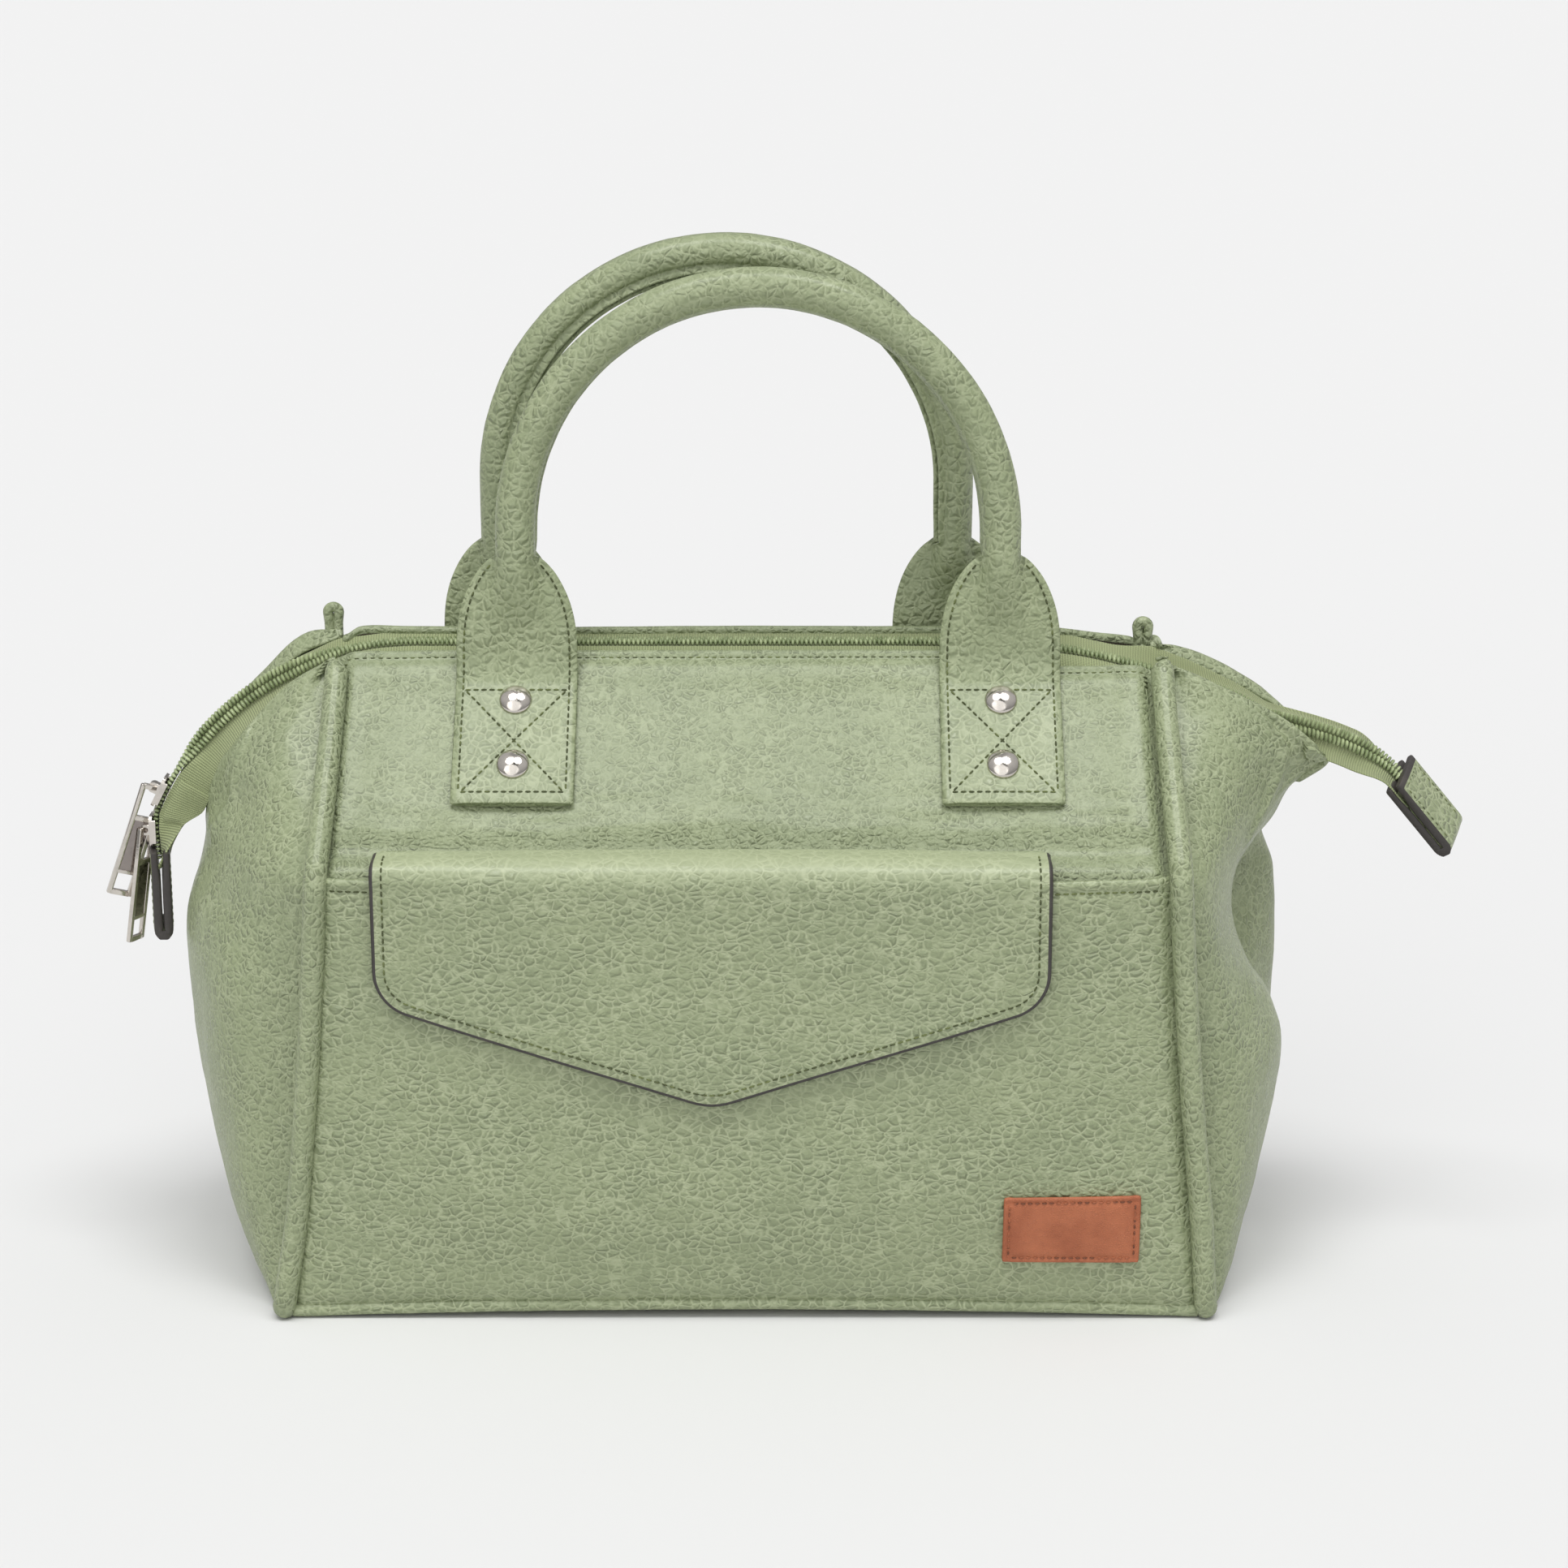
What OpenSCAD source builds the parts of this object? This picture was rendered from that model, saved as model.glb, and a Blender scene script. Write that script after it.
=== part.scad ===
// Structured top handle bag: pebbled leather body on two hinged wire frames, a zip that runs
// out past both ends, a front pocket under an envelope flap, and a pair of rolled handles.
// Origin: middle of the base, on the surface the bag stands on. +Z up, -Y is the flap side.

/* [Body] */
// Half width of the body between the side pipings at the base
edge_bottom = 151; // [135:0.5:170]
// Half width of the body between the side pipings at the lips
edge_top = 134.5; // [122:0.5:150]
// Distance from the middle plane to the outer face of the lower walls
wall_y = 66.5; // [60:0.5:75]
// Height at which the walls turn into the sloping roof
break_z = 152; // [140:0.5:165]
// Distance from the middle plane to the foot of the roof
break_y = 64; // [58:0.5:72]
// Height of the upper edge of the lips
lip_z = 212.5; // [200:0.5:225]
// Distance from the middle plane to the upper edge of each lip
lip_y = 7.05; // [6.5:0.05:8]
// Thickness of the wall leather
leather_t = 2; // [1.4:0.1:2.6]
// Thickness of the lined and turned roof leather
yoke_t = 3; // [2.4:0.1:3.6]
// Radius of the side pipings
piping_r = 3.3; // [2.5:0.1:4]
// Radius of the bottom pipings
bottom_r = 2; // [1.6:0.1:2.6]
// Gap between soft pieces that lie against each other
soft_gap = 0.3; // [0.2:0.05:0.5]

/* [Base] */
// Depth of the base panel
base_depth = 128; // [118:1:140]
// Corner radius of the base panel
base_corner = 6; // [5:0.5:20]
// Thickness of the base leather
base_t = 2; // [1.4:0.1:3]
// Thickness of the stiffening board
board_t = 2.5; // [1.5:0.1:4]
// How far the board stays inside the base panel
board_inset = 4; // [2:0.5:8]
// Height of the loose lining
lining_top = 137; // [120:1:138]

/* [Gussets] */
// Half length of the bag over the foot of the gussets
gusset_foot = 150.5; // [140:0.5:165]
// Half length of the bag over the belly of the gussets
gusset_belly = 187; // [178:0.5:200]
// Thickness of the gusset leather
gusset_t = 1.6; // [1.2:0.1:2]
// Half length of the bag at the left wing tip
left_tip_x = 180.5; // [174:0.5:188]
// Height of the left wing tip
left_tip_z = 153; // [145:0.5:160]
// Half length of the bag at the right wing tip
right_tip_x = 193; // [182:0.5:198]
// Height of the right wing tip
right_tip_z = 171.5; // [160:0.5:176]
// Half width of the slot that the zip leaves between the wings
wing_slot = 8.2; // [7.6:0.1:9.5]

/* [Zip] */
// Height of the middle of the closed teeth along the top
zip_z = 211.8; // [205:0.1:220]
// Radius of the curve in which the zip runs down over the wings
zip_bend_r = 96.3; // [80:0.5:110]
// Half length of the straight run of the zip
zip_straight = 108.6; // [95:0.5:120]
// Width of one row of teeth
coil_w = 2.4; // [2:0.1:3]
// Height of the row of teeth
coil_h = 2.4; // [2:0.1:2.8]
// Half width of the groove between the rows, where the slider's wedge runs
coil_groove = 0.6; // [0.5:0.05:0.8]
// Thickness of the woven tape
tape_t = 0.8; // [0.5:0.1:1.2]
// Half width of the tape over its sloping outer part
tape_reach = 10.5; // [9:0.1:12]
// Turn of the curve at which the hanging left tail begins
tail_turn = 66.5; // [64:0.1:68]
// Height of the end of the left tail
tail_end_z = 126.3; // [118:0.1:126.5]
// Half length at the end of the right tail
right_tail_x = 218; // [205:0.5:228]
// Height of the end of the right tail
right_tail_z = 166.5; // [158:0.5:176]
// Fall of the right tail at its end
right_tail_fall = 50; // [40:1:60]
// Length of the folded end tabs
tab_len = 30; // [24:0.5:36]
// Width of the folded end tabs
tab_width = 20; // [16:0.5:24]
// Thickness of the folded end tabs
tab_thick = 5.4; // [4:0.1:7]

/* [Sliders] */
// Length of a slider
slider_len = 11; // [9:0.1:12]
// Width of a slider
slider_w = 9.2; // [8:0.1:9.6]
// Plate thickness of a slider
slider_plate = 1; // [0.8:0.1:1.2]
// Turn of the curve at which the first slider is parked
slider_turn = 62.5; // [58:0.1:63]
// Height at which the second slider is parked
slider2_z = 147.2; // [146:0.1:148]
// Height of the pull's hinge over the middle of the teeth
bridge_h = 4.3; // [4:0.1:5]
// Radius of the pull's hinge bar
pull_bar_r = 0.9; // [0.7:0.05:1]
// Length of a pull below its hinge
pull_len = 40; // [30:0.5:44]
// Width of a pull
pull_w = 9; // [7.5:0.1:11]
// Thickness of a pull
pull_t = 1.6; // [1.2:0.1:2]
// Lean of the first pull, which lies over the second slider
pull1_lean = 24; // [24:1:30]
// Lean of the second pull
pull2_lean = 8; // [6:1:16]

/* [Handles] */
// Half span of the front handle
front_half = 78.6; // [70:0.2:85]
// Place of the middle of the front handle
front_handle_x = 4.4; // [-5:0.1:8]
// Height of the front handle's bow centre over its fold
front_rise = 44.4; // [40:0.2:60]
// Half span of the rear handle
rear_half = 75; // [70:0.2:85]
// Place of the middle of the rear handle
rear_handle_x = -6.3; // [-10:0.1:6]
// Height of the rear handle's bow centre over its fold
rear_rise = 57; // [44:0.2:64]
// Radius of the rolled leather tube
tube_r = 6.5; // [5.5:0.1:7.5]
// Radius of the cord inside the tube
core_r = 4.2; // [3:0.1:4.6]
// Lean of the handles towards each other
handle_lean = 3.6; // [2:0.1:4]
// Width of the sewn straps
strap_w = 39.4; // [30:0.2:44]
// Thickness of the strap
strap_t = 2.8; // [2:0.1:3.4]
// Distance down the roof from the lip to the fold of the strap
fold_run = 11; // [9:0.5:14]
// Distance down the roof from the lip to the end of the strap
strap_end_run = 61; // [52:0.5:64]
// Distance down the roof from the lip to the first rivet
rivet1_run = 23.3; // [21:0.1:28]
// Distance down the roof from the lip to the second rivet
rivet2_run = 47; // [40:0.1:54]
// Radius of a rivet cap
cap_r = 4.9; // [3.5:0.1:6]
// Height of a rivet cap
cap_h = 2.2; // [1.5:0.1:3]
// Radius of a rivet shank
shank_r = 1.5; // [1:0.1:2]
// Thickness of a rivet's back disc
back_h = 1; // [0.6:0.1:1.5]

/* [Frames] */
// Radius of the frame wire
wire_r = 1.3; // [1:0.1:1.6]
// Half length of the frame along the lips
wire_half = 126; // [110:0.5:128]
// Height of the frame hinge
hinge_z = 150; // [145:0.5:156]
// Half length of the bag at the frame hinges
hinge_x = 164; // [158:0.5:168]
// Distance of the frame wire down the roof from the lip
wire_run = 7; // [5:0.5:9]
// Size of the frame's bent corner
wire_corner = 14; // [8:1:18]
// Radius of the frame's eyelets
eyelet_r = 3.6; // [3:0.1:4.5]
// Radius of the hinge rivets
pin_r = 1.5; // [1.2:0.05:1.9]
// Running clearance of pins and bars
fit = 0.05; // [0.02:0.01:0.1]

/* [Pocket and flap] */
// Height of the pocket's hem
pocket_top = 150.5; // [140:0.5:151]
// How far the pocket stands off the front wall
pocket_bulge = 6; // [5:0.1:7]
// How far the rear wall swells
rear_bulge = 3; // [1:0.1:5]
// Place of the middle of the flap
flap_x = -10.2; // [-14:0.1:14]
// Half width of the flap
flap_half = 107.3; // [90:0.5:112]
// Height of the flap's sewn edge
flap_top = 158.5; // [157.5:0.1:162]
// Height of the corner between the flap's side and its lower edge
flap_shoulder = 110; // [95:0.5:125]
// Height of the flap's point before rounding
flap_tip = 76; // [60:0.5:90]
// Corner radius of the flap
flap_corner = 15; // [5:1:25]
// Radius of the flap's point
flap_point = 20; // [5:1:40]
// Bend radius where the flap turns over the hem
flap_bend = 10; // [9:0.5:14]
// Thickness of each of the flap's two layers
flap_layer = 1.3; // [1:0.05:1.6]
// Play between the flap and the pocket
flap_play = 0.6; // [0.4:0.1:1.5]
// Radius of the magnets
magnet_r = 7; // [5:0.5:9]
// Thickness of the magnets
magnet_t = 1.2; // [0.8:0.1:1.3]
// Height of the magnets
magnet_z = 93; // [88:0.5:110]
// Width of the bare patch
patch_w = 44.5; // [30:0.5:60]
// Height of the bare patch
patch_h = 24; // [15:0.5:35]
// Thickness of the bare patch
patch_t = 1.4; // [0.8:0.1:2]
// Place of the middle of the patch across the front
patch_x = 105.6; // [90:0.1:110]
// Height of the middle of the patch
patch_z = 33; // [25:0.1:45]

/* [Hidden] */
$fn = 48;
overrun = 5 * leather_t;
hair = soft_gap / 10;
// Power of the height share by which the edges bow out towards the base
edge_share = 1.7;
// Steps of the shaped sheets along and across
sheet_steps = 8;
// Roof slope over the horizontal, and its length from the lip down
roof_pitch = atan2(lip_z - break_z, break_y - lip_y);
roof_len = norm([lip_z - break_z, break_y - lip_y]);
edge_inset = piping_r + soft_gap;
wall_foot = 2 * bottom_r + soft_gap;
bottom_y = base_depth / 2 + bottom_r + soft_gap;
wall_top = break_z + leather_t / 2;
// Middle of the curve of the zip on each side
bend_x = zip_straight;
bend_z = zip_z - zip_bend_r;
// Turn of the curve at the ends of the lips and where the right tail leaves it
lip_turn = asin((edge_top - bend_x) / zip_bend_r);
right_turn = 39.6;
// Handle fold: its place across and up, on the outer face of the roof
roll_r = strap_t - soft_gap;
fold_y = lip_y + fold_run * cos(roof_pitch) + (roll_r + soft_gap) * sin(roof_pitch);
fold_z = lip_z - fold_run * sin(roof_pitch) + (roll_r + soft_gap) * cos(roof_pitch);
// Height over which the strap is rolled up into the tube
flare_share = 0.94;
flare_h = flare_share * strap_w;
// The flap hangs from a roll on the roof
flap_roll_r = flap_layer;
flap_root_y = roof_y(flap_top) + (flap_roll_r + soft_gap) / sin(roof_pitch);
pocket_face = wall_y + soft_gap + pocket_bulge + leather_t;
flap_y = pocket_face + flap_play + flap_layer;

function mix(a, b, t) = a + (b - a) * t;
function unit(v) = v / norm(v);
function edge_x(z) = mix(edge_top, edge_bottom, pow(max(0, 1 - z / lip_z), edge_share));
function roof_y(z) = lip_y + (lip_z - z) / tan(roof_pitch);
function skin_y(z) = z < break_z ? wall_y : roof_y(z);
function bezier(p, t) =
  p[0] * pow(1 - t, 3) + 3 * p[1] * t * pow(1 - t, 2) + 3 * p[2] * t * t * (1 - t)
  + p[3] * pow(t, 3);
// Rounds one corner of an outline
function fillet(a, b, c, r, n) =
  r == 0 ? [b] :
  let (
    u = unit(a - b),
    v = unit(c - b),
    half = acos(u * v) / 2,
    m = b + unit(u + v) * r / sin(half),
    p = b + u * r / tan(half) - m,
    q = b + v * r / tan(half) - m,
    a0 = atan2(p[1], p[0]),
    turn = (atan2(q[1], q[0]) - a0 + 540) % 360 - 180
  )
  [for (i = [0:n]) m + r * [cos(a0 + turn * i / n), sin(a0 + turn * i / n)]];
function rounded(pts, radii, n = 8) =
  let (k = len(pts))
  [for (i = [0:k - 1]) each fillet(pts[(i + k - 1) % k], pts[i], pts[(i + 1) % k], radii[i], n)];
function box_outline(w, h, r) =
  rounded([[-w / 2, -h / 2], [w / 2, -h / 2], [w / 2, h / 2], [-w / 2, h / 2]], [r, r, r, r]);
function tangents(path) =
  let (k = len(path) - 1)
  [for (i = [0:k]) unit(path[min(k, i + 1)] - path[max(0, i - 1)])];
// A band of even thickness along a path in a plane
function ribbon(path, lo, hi) =
  let (t = tangents(path), k = len(path) - 1)
  concat(
    [for (i = [0:k]) path[i] + hi * [t[i][1], -t[i][0]]],
    [for (i = [k:-1:0]) path[i] + lo * [t[i][1], -t[i][0]]]
  );

// Closed skin between an outer and an inner grid of points
module sheet(outer, inner) {
  m = len(outer) - 1;
  n = len(outer[0]) - 1;
  half = (m + 1) * (n + 1);
  at = function (i, j) i * (n + 1) + j;
  polyhedron(
    concat([for (r = outer) each r], [for (r = inner) each r]),
    concat(
      [for (i = [0:m - 1]) for (j = [0:n - 1]) for (f = [
        [at(i + 1, j + 1), at(i, j + 1), at(i, j)],
        [at(i + 1, j), at(i + 1, j + 1), at(i, j)],
        [half + at(i, j + 1), half + at(i + 1, j + 1), half + at(i, j)],
        [half + at(i + 1, j + 1), half + at(i + 1, j), half + at(i, j)]
      ]) f],
      [for (i = [0:m - 1]) for (f = [
        [half + at(i + 1, 0), at(i + 1, 0), at(i, 0)],
        [half + at(i, 0), half + at(i + 1, 0), at(i, 0)],
        [half + at(i, n), at(i, n), at(i + 1, n)],
        [half + at(i + 1, n), half + at(i, n), at(i + 1, n)]
      ]) f],
      [for (j = [0:n - 1]) for (f = [
        [half + at(0, j), at(0, j), at(0, j + 1)],
        [half + at(0, j + 1), half + at(0, j), at(0, j + 1)],
        [half + at(m, j + 1), at(m, j + 1), at(m, j)],
        [half + at(m, j), half + at(m, j + 1), at(m, j)]
      ]) f]
    )
  );
}

// Closed solid through a row of rings with the same number of points
module loft(rings) {
  m = len(rings) - 1;
  n = len(rings[0]);
  at = function (i, j) i * n + j % n;
  polyhedron(
    [for (r = rings) each r],
    concat(
      [[for (j = [n - 1:-1:0]) at(0, j)]],
      [for (i = [0:m - 1]) for (j = [0:n - 1]) for (f = [
        [at(i, j), at(i, j + 1), at(i + 1, j + 1)],
        [at(i, j), at(i + 1, j + 1), at(i + 1, j)]
      ]) f],
      [[for (j = [0:n - 1]) at(m, j)]]
    )
  );
}

// Sections of [outward, across] points carried along a path of [x, z] points
module run(path, sections) {
  t = tangents(path);
  loft([for (i = [0:len(path) - 1]) [for (s = sections[i])
    [path[i][0] - t[i][1] * s[0], s[1], path[i][1] + t[i][0] * s[0]]]]);
}

// Roof frame: origin at the front lip's edge, +Y up the roof, +Z out of it
module on_roof() translate([0, -lip_y, lip_z]) rotate([roof_pitch, 0, 0]) children();
module rear() mirror([0, 1, 0]) children();
module rod(r, l) rotate([0, 90, 0]) cylinder(r = r, h = l, center = true);
module cross_rod(r, l) rotate([90, 0, 0]) cylinder(r = r, h = l, center = true);

module base_panel() color("darkseagreen")
  linear_extrude(base_t)
    polygon(box_outline(2 * (edge_bottom - edge_inset), base_depth, base_corner));

module base_board() color("saddlebrown")
  translate([0, 0, base_t])
    linear_extrude(board_t)
      polygon(box_outline(2 * (edge_bottom - edge_inset - board_inset),
        base_depth - 2 * board_inset, base_corner - board_inset));

// Outline of a wall between the side pipings
function wall_outline(top) =
  let (k = sheet_steps)
  concat(
    [for (i = [0:k]) let (z = mix(wall_foot, top, i / k)) [edge_x(z) - edge_inset, z]],
    [for (i = [k:-1:0]) let (z = mix(wall_foot, top, i / k)) [edge_inset - edge_x(z), z]]
  );

module lower_front() color("darkseagreen")
  translate([0, leather_t - wall_y, 0]) rotate([90, 0, 0])
    linear_extrude(leather_t) polygon(wall_outline(wall_top));

// Swell of a wall at a place across and up, as a share
function swell_share(across, up, up_full) =
  (1 - pow(abs(across), 4)) * sin(90 * min(1, up / up_full));
function swollen(top, stand, depth, up_full, closed) =
  [for (i = [0:sheet_steps])
    let (
      v = i / sheet_steps,
      z = mix(wall_foot, top, v),
      fade = closed ? sin(90 * min(1, (1 - v) / up_full)) : 1
    )
    [for (j = [0:sheet_steps]) let (u = 2 * j / sheet_steps - 1)
      [u * (edge_x(z) - edge_inset), -stand - depth * fade * swell_share(u, v, up_full), z]]];

module lower_rear() color("darkseagreen") rear()
  sheet(
    swollen(wall_top, wall_y, rear_bulge, 0.5, true),
    swollen(wall_top, wall_y - leather_t, rear_bulge, 0.5, true)
  );

// Share of the height over which the pocket swells to its full depth
pocket_share = 0.35;
module pocket_panel() color("darkseagreen")
  sheet(
    swollen(pocket_top, wall_y + soft_gap + leather_t, pocket_bulge, pocket_share, false),
    swollen(pocket_top, wall_y + soft_gap, pocket_bulge, pocket_share, false)
  );
function pocket_y(x, z) =
  wall_y + soft_gap + leather_t + pocket_bulge * swell_share(x / (edge_x(z) - edge_inset),
    (z - wall_foot) / (pocket_top - wall_foot), pocket_share);

// Rows of the gusset as [share up, share of the belly]
belly_shares = [[0, 0], [0.012, 0.2], [0.04, 0.38], [0.1, 0.56], [0.22, 0.76], [0.38, 0.9],
  [0.55, 0.98], [0.72, 1], [0.88, 0.95]];
gusset_cols = 6;
wing_rows = 6;
// One gusset leather sheet, front half, from the piping to the middle. Rows run up the bag.
function gusset_edge(z) =
  z < break_z
  ? [edge_x(z) + piping_r, piping_r - skin_y(z), z]
  : [edge_x(z) + piping_r, piping_r + soft_gap - skin_y(z), z - piping_r / 2];
function gusset_row(edge, mid, round_share) =
  [for (j = [0:gusset_cols]) let (u = j / gusset_cols)
    [mix(edge[0], mid[0], mix(u, sin(90 * u), round_share)),
     mix(edge[1], mid[1], mix(u, 1 - cos(90 * u), round_share)),
     mix(edge[2], mid[2], u)]];
function gusset_half(tip_x, tip_z, mid_x, mid_z) =
  let (
    lip_end = [bend_x + (zip_bend_r - wing_slot / 2) * sin(lip_turn),
      bend_z + (zip_bend_r - wing_slot / 2) * cos(lip_turn)],
    curve = [[tip_x, tip_z], mid_x, mid_z, lip_end]
  )
  concat(
    [for (b = belly_shares)
      gusset_row(gusset_edge(mix(hair, break_z, b[0])),
        [mix(gusset_foot, gusset_belly, b[1]), 0, mix(hair, tip_z, b[0])], 1)],
    [for (i = [0:wing_rows]) let (t = i / wing_rows, c = bezier(curve, t))
      gusset_row(gusset_edge(mix(break_z, lip_z - piping_r, t)),
        [c[0], -wing_slot * min(1, 4 * t), c[1]], max(0, 1 - 2 * t))]
  );
function inward(p) =
  p + gusset_t * unit([edge_top - p[0], -p[1] / 2, min(max(p[2], 4 * piping_r), break_z) - p[2]]);
module gusset(tip_x, tip_z, mid_x, mid_z) {
  rows = gusset_half(tip_x, tip_z, mid_x, mid_z);
  inner = [for (r = rows) [for (p = r) inward(p)]];
  for (s = [0, 1]) mirror([0, s, 0]) sheet(rows, inner);
}
module gusset_left() color("darkseagreen") mirror([1, 0, 0])
  gusset(left_tip_x, left_tip_z, [left_tip_x - left_tip_x / 40, mix(left_tip_z, zip_z, 0.4)],
    [mix(left_tip_x, edge_top, 0.5), mix(left_tip_z, zip_z, 0.77)]);
module gusset_right() color("darkseagreen")
  gusset(right_tip_x, right_tip_z, [mix(right_tip_x, edge_top, 0.22), mix(right_tip_z, zip_z, 0.11)],
    [mix(right_tip_x, edge_top, 0.6), mix(right_tip_z, zip_z, 0.6)]);

// Side piping of one edge: upright at the wall, then up the roof, with a turned-in end
piping_steps = 7;
roof_steps = 6;
function piping_path() =
  concat(
    [for (i = [0:piping_steps]) let (z = break_z * 0.94 * i / piping_steps) [-wall_y, z]],
    [[-wall_y + piping_r / 6, break_z - piping_r / 6]],
    [for (i = [1:roof_steps]) let (z = mix(break_z, lip_z - piping_r / 2, i / roof_steps))
      [-roof_y(z) - piping_r / 3, z]]
  );
module side_piping() {
  path = piping_path();
  t = tangents(path);
  k = len(path) - 1;
  loft([for (i = [0:k])
    let (r = i == k ? piping_r / 2 : piping_r, n = i == 0 ? [-1, 0] : [-t[i][1], t[i][0]])
    [for (j = [0:7]) let (a = 45 * j + 22.5, p = path[i] + n * r * sin(a))
      [edge_x(path[i][1]) + r * cos(a), p[0], p[1]]]]);
}
module side_pipings_front() color("darkseagreen")
  for (s = [0, 1]) mirror([s, 0, 0]) side_piping();
module side_pipings_rear() color("darkseagreen") rear()
  for (s = [0, 1]) mirror([s, 0, 0]) side_piping();

module bottom_pipings() color("darkseagreen")
  for (s = [-1, 1]) translate([0, s * bottom_y, bottom_r])
    rod(bottom_r, 2 * (edge_bottom - edge_inset));

// Lining: a loose bag of cloth inside the walls and gussets, open at the top
lining_t = leather_t / 2;
lining_side = edge_top - 2 * edge_inset;
lining_end = gusset_foot + 2 * edge_inset;
lining_d = 2 * (wall_y - leather_t - soft_gap);
function lining_outline(t) = [for (s = [1, -1]) for (a = [-90:10:90])
  s * [lining_side + (lining_end - lining_side - t) * cos(a), (lining_d / 2 - t) * sin(a)]];
module lining() color("dimgray")
  translate([0, 0, base_t + board_t + soft_gap]) difference() {
    linear_extrude(lining_top - base_t - board_t) polygon(lining_outline(0));
    translate([0, 0, lining_t]) linear_extrude(lining_top) polygon(lining_outline(lining_t));
  }

// Bare leather patch, laid flat against the swell of the pocket
module leather_patch() color("peru") {
  dx = patch_w / 2;
  dz = patch_h / 2;
  turn = atan2(pocket_y(patch_x - dx, patch_z) - pocket_y(patch_x + dx, patch_z), patch_w);
  tilt = atan2(pocket_y(patch_x, patch_z + dz) - pocket_y(patch_x, patch_z - dz), patch_h);
  translate([patch_x, -pocket_y(patch_x, patch_z) - 2 * soft_gap, patch_z])
    rotate([90 + tilt, 0, turn]) linear_extrude(patch_t)
      polygon(box_outline(patch_w, patch_h, patch_t));
}

// The flap's section: from the roll on the roof over the hem and down the pocket
flap_path = concat(
  [[-flap_root_y, flap_top]],
  [for (a = [0:15:90])
    [-flap_y + flap_bend * (1 - sin(a)), flap_top - flap_bend * (1 - cos(a))]],
  [[-flap_y, flap_tip - overrun]]
);
function flap_outline() =
  rounded(
    [[flap_x - flap_half, flap_top + overrun], [flap_x - flap_half, flap_shoulder],
     [flap_x, flap_tip], [flap_x + flap_half, flap_shoulder],
     [flap_x + flap_half, flap_top + overrun]],
    [0, flap_corner, flap_point, flap_corner, 0]);
module flap_layer_of(lo, hi) intersection() {
  translate([flap_x - flap_half - overrun, 0, 0]) rotate([90, 0, 90])
    linear_extrude(2 * (flap_half + overrun)) polygon(ribbon(flap_path, lo, hi));
  rotate([90, 0, 0]) linear_extrude(flap_y + overrun) polygon(flap_outline());
}
module flap_leather() color("darkseagreen") {
  flap_layer_of(0, flap_layer);
  translate([flap_x, -flap_root_y, flap_top]) rod(flap_roll_r + hair, 2 * flap_half);
}
module flap_lining() color("olivedrab") difference() {
  flap_layer_of(-flap_layer, 0);
  translate([flap_x, -flap_root_y, flap_top]) rod(flap_roll_r + 2 * hair, 2 * flap_half + overrun);
  translate([flap_x, -flap_y + flap_layer, magnet_z]) cross_rod(magnet_r + fit, 4 * flap_layer);
}
module flap_magnet() color("silver")
  translate([flap_x, -flap_y + magnet_t / 2 + hair, magnet_z]) cross_rod(magnet_r, magnet_t);
module pocket_magnet() color("silver")
  translate([flap_x, leather_t + hair + magnet_t / 2 - pocket_y(flap_x, magnet_z), magnet_z])
    cross_rod(magnet_r, magnet_t);

// Path of the zip as [x, z] points, from the middle of the top outward on one side
bend_steps = 14;
tail_steps = 6;
function bend_at(turn) = [bend_x + zip_bend_r * sin(turn), bend_z + zip_bend_r * cos(turn)];
left_half_path = concat(
  [for (i = [0:bend_steps]) bend_at(tail_turn * i / bend_steps)],
  [[bend_at(tail_turn)[0], tail_end_z + tab_len / 3]]
);
function right_curve() =
  let (
    a = bend_at(right_turn),
    d = [cos(right_turn), -sin(right_turn)],
    b = [right_tail_x, right_tail_z],
    e = [cos(right_tail_fall), -sin(right_tail_fall)]
  )
  [a, a + d * tab_len / 4, b - e * tab_len * 0.6, b];
right_half_path = concat(
  [for (i = [0:bend_steps]) bend_at(right_turn * i / bend_steps)],
  [for (i = [1:tail_steps]) bezier(right_curve(), i / tail_steps)],
  [[right_tail_x, right_tail_z] + tab_len / 3 * [cos(right_tail_fall), -sin(right_tail_fall)]]
);
function mirrored(path) = [for (i = [len(path) - 1:-1:0]) [-path[i][0], path[i][1]]];
zip_path = concat(mirrored(left_half_path), right_half_path);
// One row of teeth with rounded outer corners, as [outward, across]
coil_side = coil_groove + coil_w;
coil_round = 0.7 * coil_w + coil_groove;
coil_section = [
  [coil_h / 2, coil_groove], [coil_h / 2, coil_round], [coil_h / 4, coil_side],
  [-coil_h / 4, coil_side], [-coil_h / 2, coil_round], [-coil_h / 2, coil_groove]
];
// The tape beside it slopes down under the roof, and lies flat along the tails
flat_steps = 10;
// Least share by which the tape still slopes at its ends
end_share = 0.02;
tape_in = coil_side - coil_w / 7;
tape_bend = coil_side + coil_w / 2;
tape_drop = 0.78 * coil_w;
tape_flat = coil_h / 8;
tape_fall = tape_drop + (tape_reach - tape_bend) * tan(roof_pitch);
function tape_section(flat, reach) =
  let (bend = mix(tape_drop, tape_flat, flat), fall = mix(tape_fall, tape_flat, flat))
  [[-tape_flat, tape_in], [-bend, tape_bend], [-fall, reach],
   [-fall - tape_t, reach], [-bend - tape_t, tape_bend], [-tape_flat - tape_t, tape_in]];
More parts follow.
